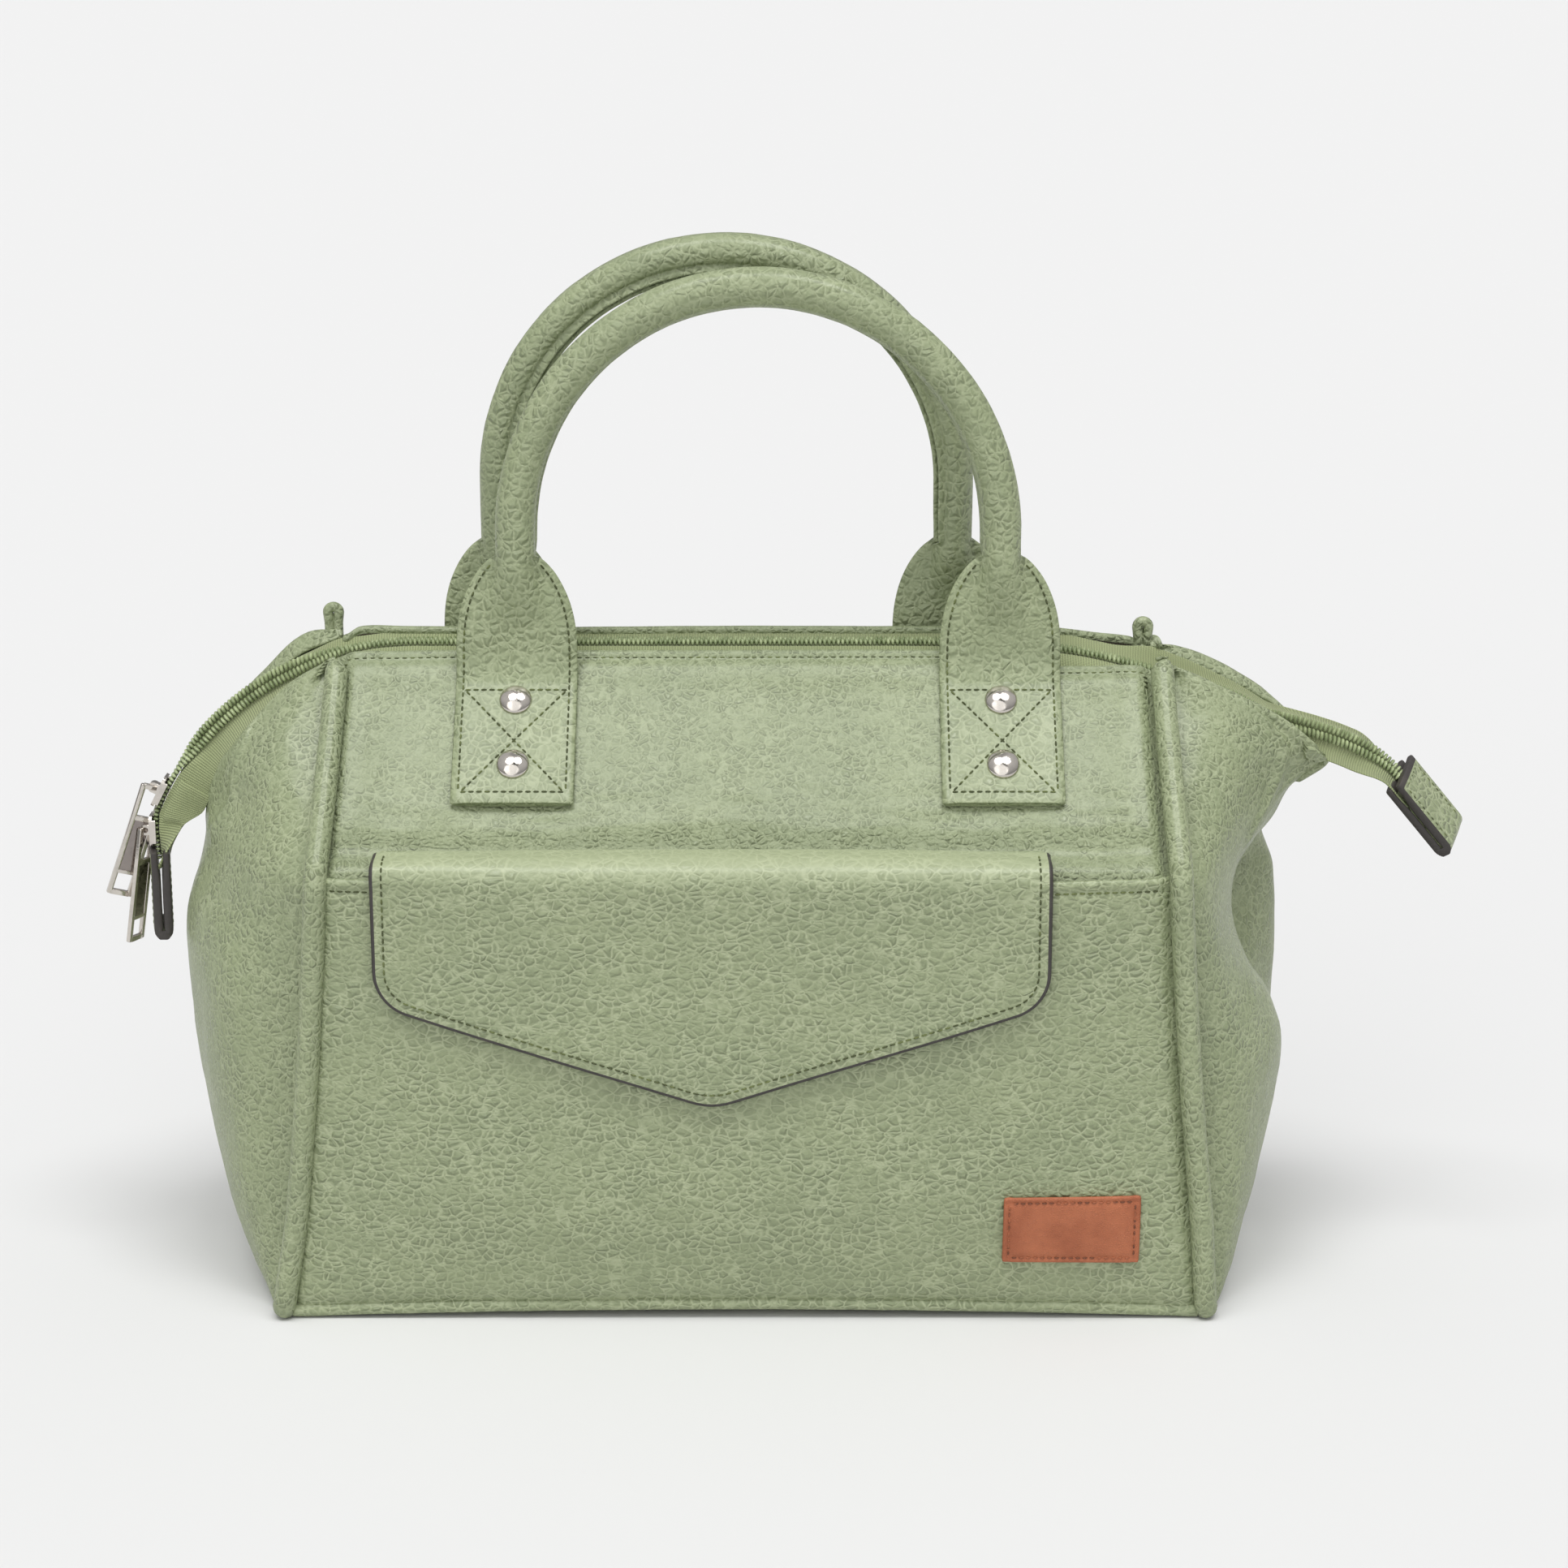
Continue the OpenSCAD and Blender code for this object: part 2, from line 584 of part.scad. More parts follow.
// Beyond the lips the tape keeps to the slot between the wings, and widens along the tails
function tape_at(x, steps) =
  let (flat = max(0, 1 - end_share - max(0, steps - 1) / flat_steps))
  tape_section(flat, abs(x) < edge_top - piping_r ? tape_reach
    : mix(wing_slot - 2 * soft_gap, tab_width / 2 - tape_t, flat * flat));
module zip_half() {
  k = len(zip_path) - 1;
  run(zip_path, [for (i = [0:k]) coil_section]);
  run(zip_path, [for (i = [0:k]) tape_at(zip_path[i][0], min(i, k - i))]);
}
module zip_half_rear() color("darkkhaki") zip_half();
module zip_half_front() color("darkkhaki") rear() zip_half();

// End tab: leather folded round the end of the tape, local +X along the tail, +Z outward
tab_slot = coil_h + soft_gap;
module zip_tab() rotate([90, 0, 0]) linear_extrude(tab_width, center = true) difference() {
  r = tab_thick / 2 - hair;
  polygon(rounded([[0, -tab_thick / 2], [tab_len, -tab_thick / 2],
    [tab_len, tab_thick / 2], [0, tab_thick / 2]], [0, r, r, 0]));
  polygon([[-overrun, -tab_slot / 2], [tab_len / 2, -tab_slot / 2],
    [tab_len / 2, tab_slot / 2], [-overrun, tab_slot / 2]]);
}
module zip_tab_left() color("darkseagreen")
  translate([-bend_at(tail_turn)[0], 0, tail_end_z + tab_len / 2]) rotate([0, 90, 0]) zip_tab();
module zip_tab_right() color("darkseagreen")
  translate([right_tail_x, 0, right_tail_z]) rotate([0, right_tail_fall, 0]) zip_tab();

module frame_hinge_rivets() color("silver")
  for (s = [-1, 1]) translate([s * (hinge_x + wire_r + soft_gap), 0, hinge_z]) {
    rod(pin_r, 6 * wire_r);
    for (e = [-1, 1]) translate([e * (3 * wire_r + soft_gap), 0, 0]) rod(2 * pin_r, wire_r);
  }

// Roof panel with its turned lip, between the pipings
module yoke(handle_x, half) on_roof() difference() {
  union() {
    r = yoke_t / 2;
    translate([0, 0, -yoke_t]) linear_extrude(yoke_t)
      polygon([[edge_inset - edge_x(break_z), -roof_len], [edge_x(break_z) - edge_inset, -roof_len],
        [edge_top - edge_inset, -r], [edge_inset - edge_top, -r]]);
    translate([0, -r, -r]) rod(r + hair, 2 * (edge_top - edge_inset));
  }
  for (s = [-1, 1]) for (d = [rivet1_run, rivet2_run])
    translate([handle_x + s * half, -d, -yoke_t - overrun])
      cylinder(r = shank_r + fit, h = yoke_t + 2 * overrun);
}
module front_yoke() color("darkseagreen") yoke(front_handle_x, front_half);
module rear_yoke() color("darkseagreen") rear() yoke(rear_handle_x, rear_half);

// The sewn end of each handle strap on the roof
module handle_ends(handle_x, half) on_roof()
  for (s = [-1, 1]) translate([handle_x + s * half, 0, soft_gap]) difference() {
    top = fold_run + roll_r + 2 * soft_gap;
    linear_extrude(strap_t) polygon(rounded(
      [[-strap_w / 2, -strap_end_run], [strap_w / 2, -strap_end_run],
       [strap_w / 2, -top], [-strap_w / 2, -top]], [strap_t, strap_t, 0, 0]));
    for (d = [rivet1_run, rivet2_run]) translate([0, -d, -overrun])
      cylinder(r = shank_r + fit, h = strap_t + 2 * overrun);
  }
module front_handle_ends() color("darkseagreen") handle_ends(front_handle_x, front_half);
module rear_handle_ends() color("darkseagreen") rear() handle_ends(rear_handle_x, rear_half);

// Domed rivets through strap and roof, with a disc behind
module rivets(handle_x, half) on_roof()
  for (s = [-1, 1]) for (d = [rivet1_run, rivet2_run]) translate([handle_x + s * half, -d, 0]) {
    dome_r = (cap_r * cap_r + cap_h * cap_h) / (2 * cap_h);
    face = strap_t + soft_gap;
    intersection() {
      translate([0, 0, face + cap_h - dome_r]) sphere(dome_r);
      translate([0, 0, face]) cylinder(r = cap_r, h = cap_h);
    }
    translate([0, 0, -yoke_t - back_h]) cylinder(r = shank_r, h = yoke_t + back_h + face + hair);
    translate([0, 0, -yoke_t - back_h]) cylinder(r = cap_r * 0.8, h = back_h);
  }
module front_handle_rivets() color("silver") rivets(front_handle_x, front_half);
module rear_handle_rivets() color("silver") rear() rivets(rear_handle_x, rear_half);

// Frame wire: along under the lip, round the corner and down inside the wing to its eyelet
wire_deep = yoke_t + tape_t + 3 * soft_gap + wire_r;
wire_y = lip_y + wire_run * cos(roof_pitch) - wire_deep * sin(roof_pitch);
wire_z = lip_z - wire_run * sin(roof_pitch) - wire_deep * cos(roof_pitch);
arm_foot = hinge_z + eyelet_r / 2;
corner_steps = 5;
function wire_half_path(side_x) =
  let (
    arm = unit([side_x - wire_half, hinge_z - wire_z]),
    a = [wire_half - wire_corner, wire_z],
    b = [wire_half, wire_z],
    c = b + arm * wire_corner
  )
  concat(
    [for (i = [0:corner_steps]) let (t = i / corner_steps)
      a * pow(1 - t, 2) + 2 * b * t * (1 - t) + c * t * t],
    [[side_x, hinge_z + eyelet_r + wire_r], [side_x, arm_foot]]
  );
module frame_wire(side_x) {
  right = wire_half_path(side_x);
  path = concat(mirrored(right), right);
  t = tangents(path);
  difference() {
    union() {
      loft([for (i = [0:len(path) - 1])
        let (deep = -mix(wire_r + soft_gap, wire_y, (path[i][1] - arm_foot) / (wire_z - arm_foot)))
        [for (j = [0:7]) let (a = 45 * j + 22.5)
          [path[i][0] - t[i][1] * wire_r * cos(a), deep + wire_r * sin(a),
           path[i][1] + t[i][0] * wire_r * cos(a)]]]);
      for (s = [-1, 1]) translate([s * side_x, 0, hinge_z]) rod(eyelet_r, 2 * wire_r);
    }
    for (s = [-1, 1]) translate([s * side_x, 0, hinge_z]) rod(pin_r + fit, 2 * overrun);
  }
}
module front_frame_wire() color("gray") frame_wire(hinge_x);
module rear_frame_wire() color("gray") rear() frame_wire(hinge_x + 2 * wire_r + 2 * soft_gap);

// Handle, in its own frame: the fold at the origin, the straps rising along +Z
module at_fold(handle_x) translate([handle_x, -fold_y, fold_z]) rotate([-handle_lean, 0, 0]) children();
// Half width, half thickness and squareness of the flare, by height
function flare_rings() = [
  [0, strap_w / 2, strap_t / 2, 0.2],
  [0.4, strap_w / 2, strap_t / 2, 0.25],
  [0.55, strap_w * 0.44, strap_t * 0.7, 0.4],
  [0.7, strap_w * 0.31, tube_r * 0.66, 0.6],
  [0.85, strap_w * 0.2, tube_r * 0.88, 0.8],
  [1.03, tube_r * 0.94, tube_r * 0.94, 1]
];
module flare() loft([for (f = flare_rings()) [for (j = [0:15])
  let (a = -22.5 * j - 11.25)
  [f[1] * sign(cos(a)) * pow(abs(cos(a)), f[3]), f[2] * sign(sin(a)) * pow(abs(sin(a)), f[3]),
   f[0] * flare_h]]]);
module bow(half, rise, r) {
  translate([0, 0, rise]) rotate([90, 0, 0]) rotate_extrude(angle = 180)
    translate([half, 0]) circle(r = r);
  for (s = [-1, 1]) translate([s * half, 0, flare_h]) cylinder(r = r, h = rise - flare_h);
}
// The tube's seam: a narrow slit along the inner side of the bow
module seam(half, rise) {
  translate([0, 0, rise]) rotate([90, 0, 0]) rotate_extrude(angle = 180)
    translate([half - tube_r - overrun, -soft_gap / 2]) square([tube_r + overrun, soft_gap]);
  for (s = [0, 1]) mirror([s, 0, 0]) translate([half - tube_r - overrun, -soft_gap / 2, flare_h])
    cube([tube_r + overrun, soft_gap, rise - flare_h]);
}
module handle_roll(half, rise) difference() {
  union() {
    bow(half, rise, tube_r);
    for (s = [-1, 1]) translate([s * half, 0, 0]) {
      flare();
      rod(roll_r, strap_w);
    }
  }
  bow(half, rise, core_r + soft_gap);
  seam(half, rise);
}
module front_handle_roll() color("darkseagreen") at_fold(front_handle_x)
  handle_roll(front_half, front_rise);
module front_handle_core() color("wheat") at_fold(front_handle_x)
  bow(front_half, front_rise, core_r);
module rear_handle_roll() color("darkseagreen") rear() at_fold(rear_handle_x)
  handle_roll(rear_half, rear_rise);
module rear_handle_core() color("wheat") rear() at_fold(rear_handle_x)
  bow(rear_half, rear_rise, core_r);

// Slider: two plates joined by the wedge, side flanges over the teeth, and the pull's bridge.
// Local +X runs along the tape, +Z out of it.
under = coil_h / 2 + soft_gap;
module slider() difference() {
  flange = (slider_w - 2 * (coil_groove + coil_w + soft_gap)) / 2;
  bridge_w = pull_w / 3;
  union() {
    translate([0, 0, under]) linear_extrude(slider_plate)
      polygon(box_outline(slider_len, slider_w, slider_w / 4));
    for (s = [-1, 1]) translate([0, s * (slider_w - flange) / 2, under - coil_h / 2])
      linear_extrude(coil_h / 2 + hair)
        polygon(box_outline(slider_len * 0.75, flange, flange / 4));
    translate([0, 0, -under - slider_plate]) linear_extrude(slider_plate)
      polygon(box_outline(slider_len, 2 * (coil_groove + coil_w - soft_gap), coil_w / 2));
    translate([0, 0, -under - hair]) linear_extrude(2 * (under + hair))
      polygon(box_outline(slider_len / 3, 2 * coil_groove - soft_gap, coil_groove / 4));
    translate([0, 0, bridge_h]) cross_rod(2 * pull_bar_r, bridge_w);
    translate([0, 0, under + slider_plate - hair]) linear_extrude(bridge_h - under - slider_plate)
      polygon(box_outline(4 * pull_bar_r, bridge_w, pull_bar_r / 4));
  }
  translate([0, 0, bridge_h]) cross_rod(pull_bar_r + fit, slider_w);
}
module on_bend(turn)
  translate([-bend_x, 0, bend_z]) rotate([0, -turn, 0]) translate([0, 0, zip_bend_r]) children();
module on_tail(z) translate([-bend_at(tail_turn)[0], 0, z]) rotate([0, -90, 0]) children();
module slider_1() color("silver") on_bend(slider_turn) slider();
module slider_2() color("silver") on_tail(slider2_z) slider();

// Pull, hanging along -Z from its hinge bar: an open bail, a solid middle and a lower window
pull_arm = pull_w / 5;
bail_share = 0.25;
window_share = 0.84;
module pull() {
  rotate([90, 0, 90]) linear_extrude(pull_t, center = true) difference() {
    polygon(rounded([[-pull_w / 2, -pull_len], [pull_w / 2, -pull_len],
      [pull_w / 2, pull_bar_r], [-pull_w / 2, pull_bar_r]], [pull_arm / 2, pull_arm / 2, 0, 0]));
    translate([0, overrun - bail_share * pull_len])
      square([pull_w - 2 * pull_arm, 2 * overrun], center = true);
    translate([0, -window_share * pull_len])
      polygon(box_outline(pull_w - 2 * pull_arm, pull_len / 5, pull_arm / 4));
  }
  cross_rod(pull_bar_r, pull_w - pull_arm);
}
module pull_1() color("silver") on_bend(slider_turn) translate([0, 0, bridge_h])
  rotate([0, slider_turn + pull1_lean, 0]) pull();
module pull_2() color("silver") on_tail(slider2_z) translate([0, 0, bridge_h])
  rotate([0, 90 + pull2_lean, 0]) pull();

base_panel();
base_board();
lower_front();
lower_rear();
pocket_panel();
gusset_left();
gusset_right();
side_pipings_front();
side_pipings_rear();
bottom_pipings();
lining();
leather_patch();
pocket_magnet();
zip_half_front();
zip_half_rear();
zip_tab_left();
zip_tab_right();
frame_hinge_rivets();
front_yoke();
front_frame_wire();
front_handle_ends();
front_handle_rivets();
rear_yoke();
rear_frame_wire();
rear_handle_ends();
rear_handle_rivets();
front_handle_roll();
front_handle_core();
rear_handle_roll();
rear_handle_core();
flap_leather();
flap_lining();
flap_magnet();
slider_1();
slider_2();
pull_1();
pull_2();
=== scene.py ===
import math

import bmesh
import bpy
import numpy as np
from mathutils import Matrix, Vector, noise


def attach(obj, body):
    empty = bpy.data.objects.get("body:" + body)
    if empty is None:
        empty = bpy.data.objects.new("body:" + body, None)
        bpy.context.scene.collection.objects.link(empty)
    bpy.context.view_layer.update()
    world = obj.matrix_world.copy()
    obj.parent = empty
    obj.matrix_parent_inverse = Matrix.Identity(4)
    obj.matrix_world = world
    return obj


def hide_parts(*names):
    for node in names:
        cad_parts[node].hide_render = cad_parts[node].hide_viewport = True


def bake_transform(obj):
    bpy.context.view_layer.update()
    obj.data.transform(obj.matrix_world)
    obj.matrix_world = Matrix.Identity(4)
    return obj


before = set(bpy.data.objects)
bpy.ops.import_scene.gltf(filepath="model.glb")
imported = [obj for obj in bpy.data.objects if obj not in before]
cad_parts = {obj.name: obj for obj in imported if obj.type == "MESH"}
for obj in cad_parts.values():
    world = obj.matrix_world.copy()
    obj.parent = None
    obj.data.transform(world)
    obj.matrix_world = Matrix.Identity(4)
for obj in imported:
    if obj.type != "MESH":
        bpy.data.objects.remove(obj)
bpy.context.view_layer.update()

# Sizes are in millimetres, front face towards -Y, and become metres in the meshes
MM = 0.001
EDGE_BOTTOM = 151.0
EDGE_TOP = 134.5
LIP_Z = 212.5
LIP_Y = 7.05
BREAK_Z = 152.0
BREAK_Y = 64.0
WALL_Y = 66.5
PITCH = math.atan2(LIP_Z - BREAK_Z, BREAK_Y - LIP_Y)
ARCH = 2.6
BEND_X = 108.6
BEND_R = 96.3
BEND_Z = 115.5
LEFT_TURN = 66.5
RIGHT_TURN = 39.6


def mix(a, b, t):
    return a + (b - a) * t


def smooth(t):
    t = np.clip(t, 0, 1)
    return t * t * (3 - 2 * t)


def unit(v):
    return v / np.maximum(np.linalg.norm(v, axis=-1, keepdims=True), 1e-9)


def relief(points, size, shift=0.0):
    """Soft noise of about +-1 at points, with humps of the given size."""
    flat = np.asarray(points, float).reshape(-1, 3) / size + shift
    values = [noise.noise(Vector(p)) for p in flat]
    return np.array(values).reshape(np.asarray(points).shape[:-1])


def along(points):
    """Distance travelled at each point of a path."""
    steps = np.linalg.norm(np.diff(points, axis=0), axis=1)
    return np.concatenate([[0], np.cumsum(steps)])


def resample(points, count):
    """The path again, with evenly spaced points."""
    points = np.asarray(points, float)
    s = along(points)
    t = np.linspace(0, s[-1], count)
    return np.stack([np.interp(t, s, points[:, k]) for k in range(points.shape[1])], 1)


def catmull(a, b, c, d, t):
    """Smooth curve from b to c at t, with a before and d after."""
    return 0.5 * (2 * b + (c - a) * t + (2 * a - 5 * b + 4 * c - d) * t ** 2
                  + (3 * b - 3 * c + d - a) * t ** 3)


def through(knots, count):
    """Smooth path through the knots, evenly spaced."""
    k = np.asarray(knots, float)
    k = np.vstack([2 * k[0] - k[1], k, 2 * k[-1] - k[-2]])
    out = []
    for i in range(1, len(k) - 2):
        t = np.linspace(0, 1, 24, endpoint=i == len(k) - 3)[:, None]
        out.append(catmull(*k[i - 1:i + 3], t))
    return resample(np.vstack(out), count)


def tangents(path):
    return unit(np.gradient(np.asarray(path, float), axis=0))


def edge_x(z):
    """Half width of the body between the side pipings."""
    return mix(EDGE_TOP, EDGE_BOTTOM, np.clip(1 - np.asarray(z) / LIP_Z, 0, 1) ** 1.7)


def roof_y(z):
    return LIP_Y + (LIP_Z - z) / math.tan(PITCH)


def piece(name, points, faces, finishes, finish_of=None, uv=None, sharp=50):
    """A named mesh object from points in millimetres."""
    name = name.replace(" ", "_")
    mesh = bpy.data.meshes.new(name)
    mesh.from_pydata((np.asarray(points) * MM).tolist(), [], faces)
    for finish in finishes:
        mesh.materials.append(finish)
    if finish_of is not None:
        mesh.polygons.foreach_set("material_index", list(finish_of))
    if uv is not None:
        corners = np.zeros(len(mesh.loops), np.int32)
        mesh.loops.foreach_get("vertex_index", corners)
        layer = mesh.uv_layers.new(name="along_across")
        layer.data.foreach_set("uv", np.asarray(uv, np.float32)[corners].ravel())
    tidy = bmesh.new()
    tidy.from_mesh(mesh)
    bmesh.ops.recalc_face_normals(tidy, faces=tidy.faces)
    tidy.to_mesh(mesh)
    tidy.free()
    mesh.polygons.foreach_set("use_smooth", [True] * len(mesh.polygons))
    mesh.set_sharp_from_angle(angle=math.radians(sharp))
    obj = bpy.data.objects.new(name, mesh)
    bpy.context.scene.collection.objects.link(obj)
    return obj


def quads(m, n, start=0, around=False):
    """Faces of an m by n grid of points, closed round the columns if asked."""
    cols = n if around else n - 1
    out = []
    for i in range(m - 1):
        for j in range(cols):
            a = start + i * n + j
            b = start + i * n + (j + 1) % n
            out.append((a, b, b + n, a + n))
    return out


def half_of(side):
    """Name of the half of the bag that a side belongs to."""
    return "front" if side < 0 else "rear"


def power_curve(values, power):
    """Sign and power of a cosine or sine, for rounded rectangles."""
    return np.sign(values) * np.abs(values) ** power


def normals(grid):
    """Unit normals of a grid of points."""
    du = np.gradient(grid, axis=0)
    dv = np.gradient(grid, axis=1)
    return unit(np.cross(dv, du))


def loft(name, rings, finishes, finish_of_row=None, uv=None, sharp=50):
    """Closed solid through rings of equal length."""
    rings = np.asarray(rings, float)
    m, n = rings.shape[:2]
    faces = quads(m, n, 0, True) + [tuple(range(n)), tuple(range((m - 1) * n, m * n))]
    rows = None
    if finish_of_row is not None:
        rows = [finish_of_row(i, j) for i in range(m - 1) for j in range(n)] + [0, 0]
    return piece(name, rings.reshape(-1, 3), faces, finishes, rows, uv, sharp)


def tube(path, side, radius, count, shape=None):
    """Rings of a tube along a path. side is a direction across it at each point."""
    path = np.asarray(path, float)
    t = tangents(path)
    side = unit(side - t * np.sum(side * t, axis=1, keepdims=True))
    other = np.cross(t, side)
    a = np.linspace(0, 2 * math.pi, count, endpoint=False)
    r = np.ones((len(path), count)) * np.asarray(radius, float).reshape(-1, 1)
    if shape is not None:
        r = r + shape(a)
    return (path[:, None] + side[:, None] * (np.cos(a) * r)[..., None]
            + other[:, None] * (np.sin(a) * r)[..., None])


# Share of a bar's length, of its thickness and of its bow, at each of its rings
BAR_SHARES = [(0, 0.3, -1), (0.1, 0.8, -0.3), (0.3, 1, 0.7), (0.7, 1, 0.7), (0.9, 0.8, -0.3), (1, 0.3, -1)]


def bars(starts, ends, ups, width, height, bow, sides=6):
    """Points and faces of many short rounded bars, such as stitches or teeth."""
    starts, ends, ups = (np.asarray(v, float) for v in (starts, ends, ups))
    run = ends - starts
    across = unit(np.cross(run, ups))
    ups = unit(ups)
    a = np.linspace(0, 2 * math.pi, sides, endpoint=False)
    rings = []
    for share, thick, rise in BAR_SHARES:
        middle = starts + run * share + ups * rise * bow
        rings.append(middle[:, None] + across[:, None] * (np.cos(a) * width / 2 * thick)[:, None]
                     + ups[:, None] * (np.sin(a) * height / 2 * thick)[:, None])
    points = np.stack(rings, 1)
    count, m = points.shape[:2]
    one = quads(m, sides, 0, True) + [tuple(range(sides)), tuple(range((m - 1) * sides, m * sides))]
    faces = [tuple(v + k * m * sides for v in face) for k in range(count) for face in one]
    return points.reshape(-1, 3), faces


def srgb(r, g, b):
    """Linear colour of an 8-bit colour."""
    return tuple((v / 255 / 12.92 if v <= 10 else ((v / 255 + 0.055) / 1.055) ** 2.4)
                 for v in (r, g, b)) + (1.0,)


def toned(colour, share):
    """A colour made darker or paler."""
    return tuple(min(1.0, v * share) for v in colour[:3]) + (1.0,)


SAGE = srgb(145, 155, 118)
SAGE_CREASE = srgb(177, 185, 150)
# darker random tone, also used as painted shade in the pits between pebbles
SAGE_DEEP = srgb(118, 129, 97)
# painted shade along the roof's wrinkles
SAGE_SHADE = srgb(84, 94, 68)
TAN = srgb(178, 104, 68)
TAPE_GREEN = srgb(160, 170, 124)
# olive thread colour darkened to stand in for the shade in the stitch holes: partly painted shade
THREAD_WITH_HOLE_SHADE = srgb(80, 88, 50)
EDGE_PAINT = srgb(58, 54, 52)
LINING_CLOTH = srgb(96, 92, 74)
NICKEL = srgb(214, 208, 200)
BACKDROP = srgb(240, 240, 240)


class Nodes:
    """Short hand for placing and linking nodes in a tree."""

    def __init__(self, tree):
        self.tree = tree

    def add(self, kind, **settings):
        node = self.tree.nodes.new(kind)
        for key, value in settings.items():
            setattr(node, key, value)
        return node

    def link(self, a, b):
        self.tree.links.new(a, b)

    def feed(self, socket, value):
        if isinstance(value, bpy.types.NodeSocket):
            self.link(value, socket)
        else:
            socket.default_value = value

    def math(self, operation, a, b=0.0, c=0.0):
        node = self.add("ShaderNodeMath", operation=operation)
        for socket, value in zip(node.inputs, (a, b, c)):
            self.feed(socket, value)
        return node.outputs[0]

    def span(self, value, low, high, to_low=0.0, to_high=1.0):
        node = self.add("ShaderNodeMapRange", interpolation_type="SMOOTHSTEP")
        for socket, v in zip(node.inputs, (value, low, high, to_low, to_high)):
            self.feed(socket, v)
        return node.outputs[0]

    def blend(self, fac, a, b):
        node = self.add("ShaderNodeMix", data_type="RGBA")
        self.feed(node.inputs[0], fac)
        self.feed(node.inputs[6], a)
        self.feed(node.inputs[7], b)
        return node.outputs[2]

    def split(self, coords):
        node = self.add("ShaderNodeSeparateXYZ")
        self.link(coords, node.inputs[0])
        return node.outputs

    def vector(self, operation, *values, scale=None):
        node = self.add("ShaderNodeVectorMath", operation=operation)
        for socket, value in zip(node.inputs, values):
            self.feed(socket, value)
        if scale is not None:
            self.feed(node.inputs["Scale"], scale)
        return node.outputs[0]

    def cells(self, coords, scale):
        node = self.add("ShaderNodeTexVoronoi", feature="DISTANCE_TO_EDGE")
        self.link(coords, node.inputs["Vector"])
        self.feed(node.inputs["Scale"], scale)
        return node.outputs["Distance"]

    def noise(self, coords, scale, detail=3.0, rough=0.55, out="Fac"):
        node = self.add("ShaderNodeTexNoise")
        self.feed(node.inputs["Vector"], coords)
        self.feed(node.inputs["Scale"], scale)
        self.feed(node.inputs["Detail"], detail)
        self.feed(node.inputs["Roughness"], rough)
        return node.outputs[out]


def group(name, inputs, outputs):
    """A new shader node group with the named inputs and outputs."""
    tree = bpy.data.node_groups.new(name, "ShaderNodeTree")
    for label, kind, value in inputs:
        item = tree.interface.new_socket(name=label, in_out="INPUT", socket_type=kind)
        if value is not None:
            item.default_value = value
    for label, kind in outputs:
        tree.interface.new_socket(name=label, in_out="OUTPUT", socket_type=kind)
    work = Nodes(tree)
    return tree, work, work.add("NodeGroupInput"), work.add("NodeGroupOutput")


FLOAT, VECTOR = "NodeSocketFloat", "NodeSocketVector"


def pebble_grain():
    """Pebbles in height, the creases between them, the pits between their small bumps, and slow tone."""
    tree, w, inp, out = group(
        "pebble grain",
        [("Vector", VECTOR, None), ("Pebbles per metre", FLOAT, 300.0), ("Crease", FLOAT, 0.1)],
        [("Height", FLOAT), ("Crease mask", FLOAT), ("Pit mask", FLOAT), ("Tone", FLOAT)])
    v, per_metre, crease = (inp.outputs[k] for k in range(3))
    bend = w.noise(v, w.math("MULTIPLY", per_metre, 0.8), 0.5, 0.5, "Color")
    reach = w.vector("SCALE", bend, scale=w.math("DIVIDE", 0.75, per_metre))
    bent = w.vector("ADD", reach, v)
    distances = [w.cells(bent, w.math("MULTIPLY", per_metre, times)) for times in (1.0, 1.8)]
    fade = w.span(w.noise(v, w.math("MULTIPLY", per_metre, 0.3), 1.0), 0.34, 0.6, 0.5, 1.0)
    big = w.math("MULTIPLY", w.span(distances[0], 0.0, 0.42), fade)
    fine = w.span(distances[1], 0.0, 0.42)
    skin = w.noise(v, 2600.0, 2.0)
    height = w.math("MULTIPLY_ADD", fine, 0.25, w.math("MULTIPLY", big, 1.0))
    w.link(w.math("MULTIPLY_ADD", skin, 0.06, height), out.inputs[0])
    narrow = w.math("SUBTRACT", 1.0, w.span(distances[0], 0.0, crease))
    w.link(w.math("MULTIPLY", narrow, fade), out.inputs[1])
    w.link(w.math("SUBTRACT", 1.0, w.span(distances[1], 0.0, 0.3)), out.inputs[2])
    w.link(w.noise(v, 34.0, 3.0), out.inputs[3])
    return tree


def wrinkle_lines():
    """Long level wrinkles in a band of heights, as a mask."""
    tree, w, inp, out = group(
        "long wrinkles",
        [("Vector", VECTOR, None), ("Low", FLOAT, 0.157), ("High", FLOAT, 0.181)],
        [("Mask", FLOAT)])
    v = inp.outputs[0]
    _, outward, up = w.split(v)
    band = w.span(up, inp.outputs[1], inp.outputs[2], 1.0, 0.0)
    band = w.math("MULTIPLY", band, w.span(up, 0.15, 0.154))
    band = w.math("MULTIPLY", band, w.span(outward, -0.03, -0.02, 1.0, 0.0))
    bend = w.noise(v, 90.0, 2.0, 0.5, "Color")
    bent = w.vector("MULTIPLY_ADD", bend, (0.006, 0.003, 0.003), v)
    cells = w.cells(w.vector("MULTIPLY", bent, (0.3, 1.0, 1.0)), 290.0)
    line = w.span(cells, 0.0, 0.16, 1.0, 0.0)
    w.link(w.math("MULTIPLY", line, band), out.inputs[0])
    return tree


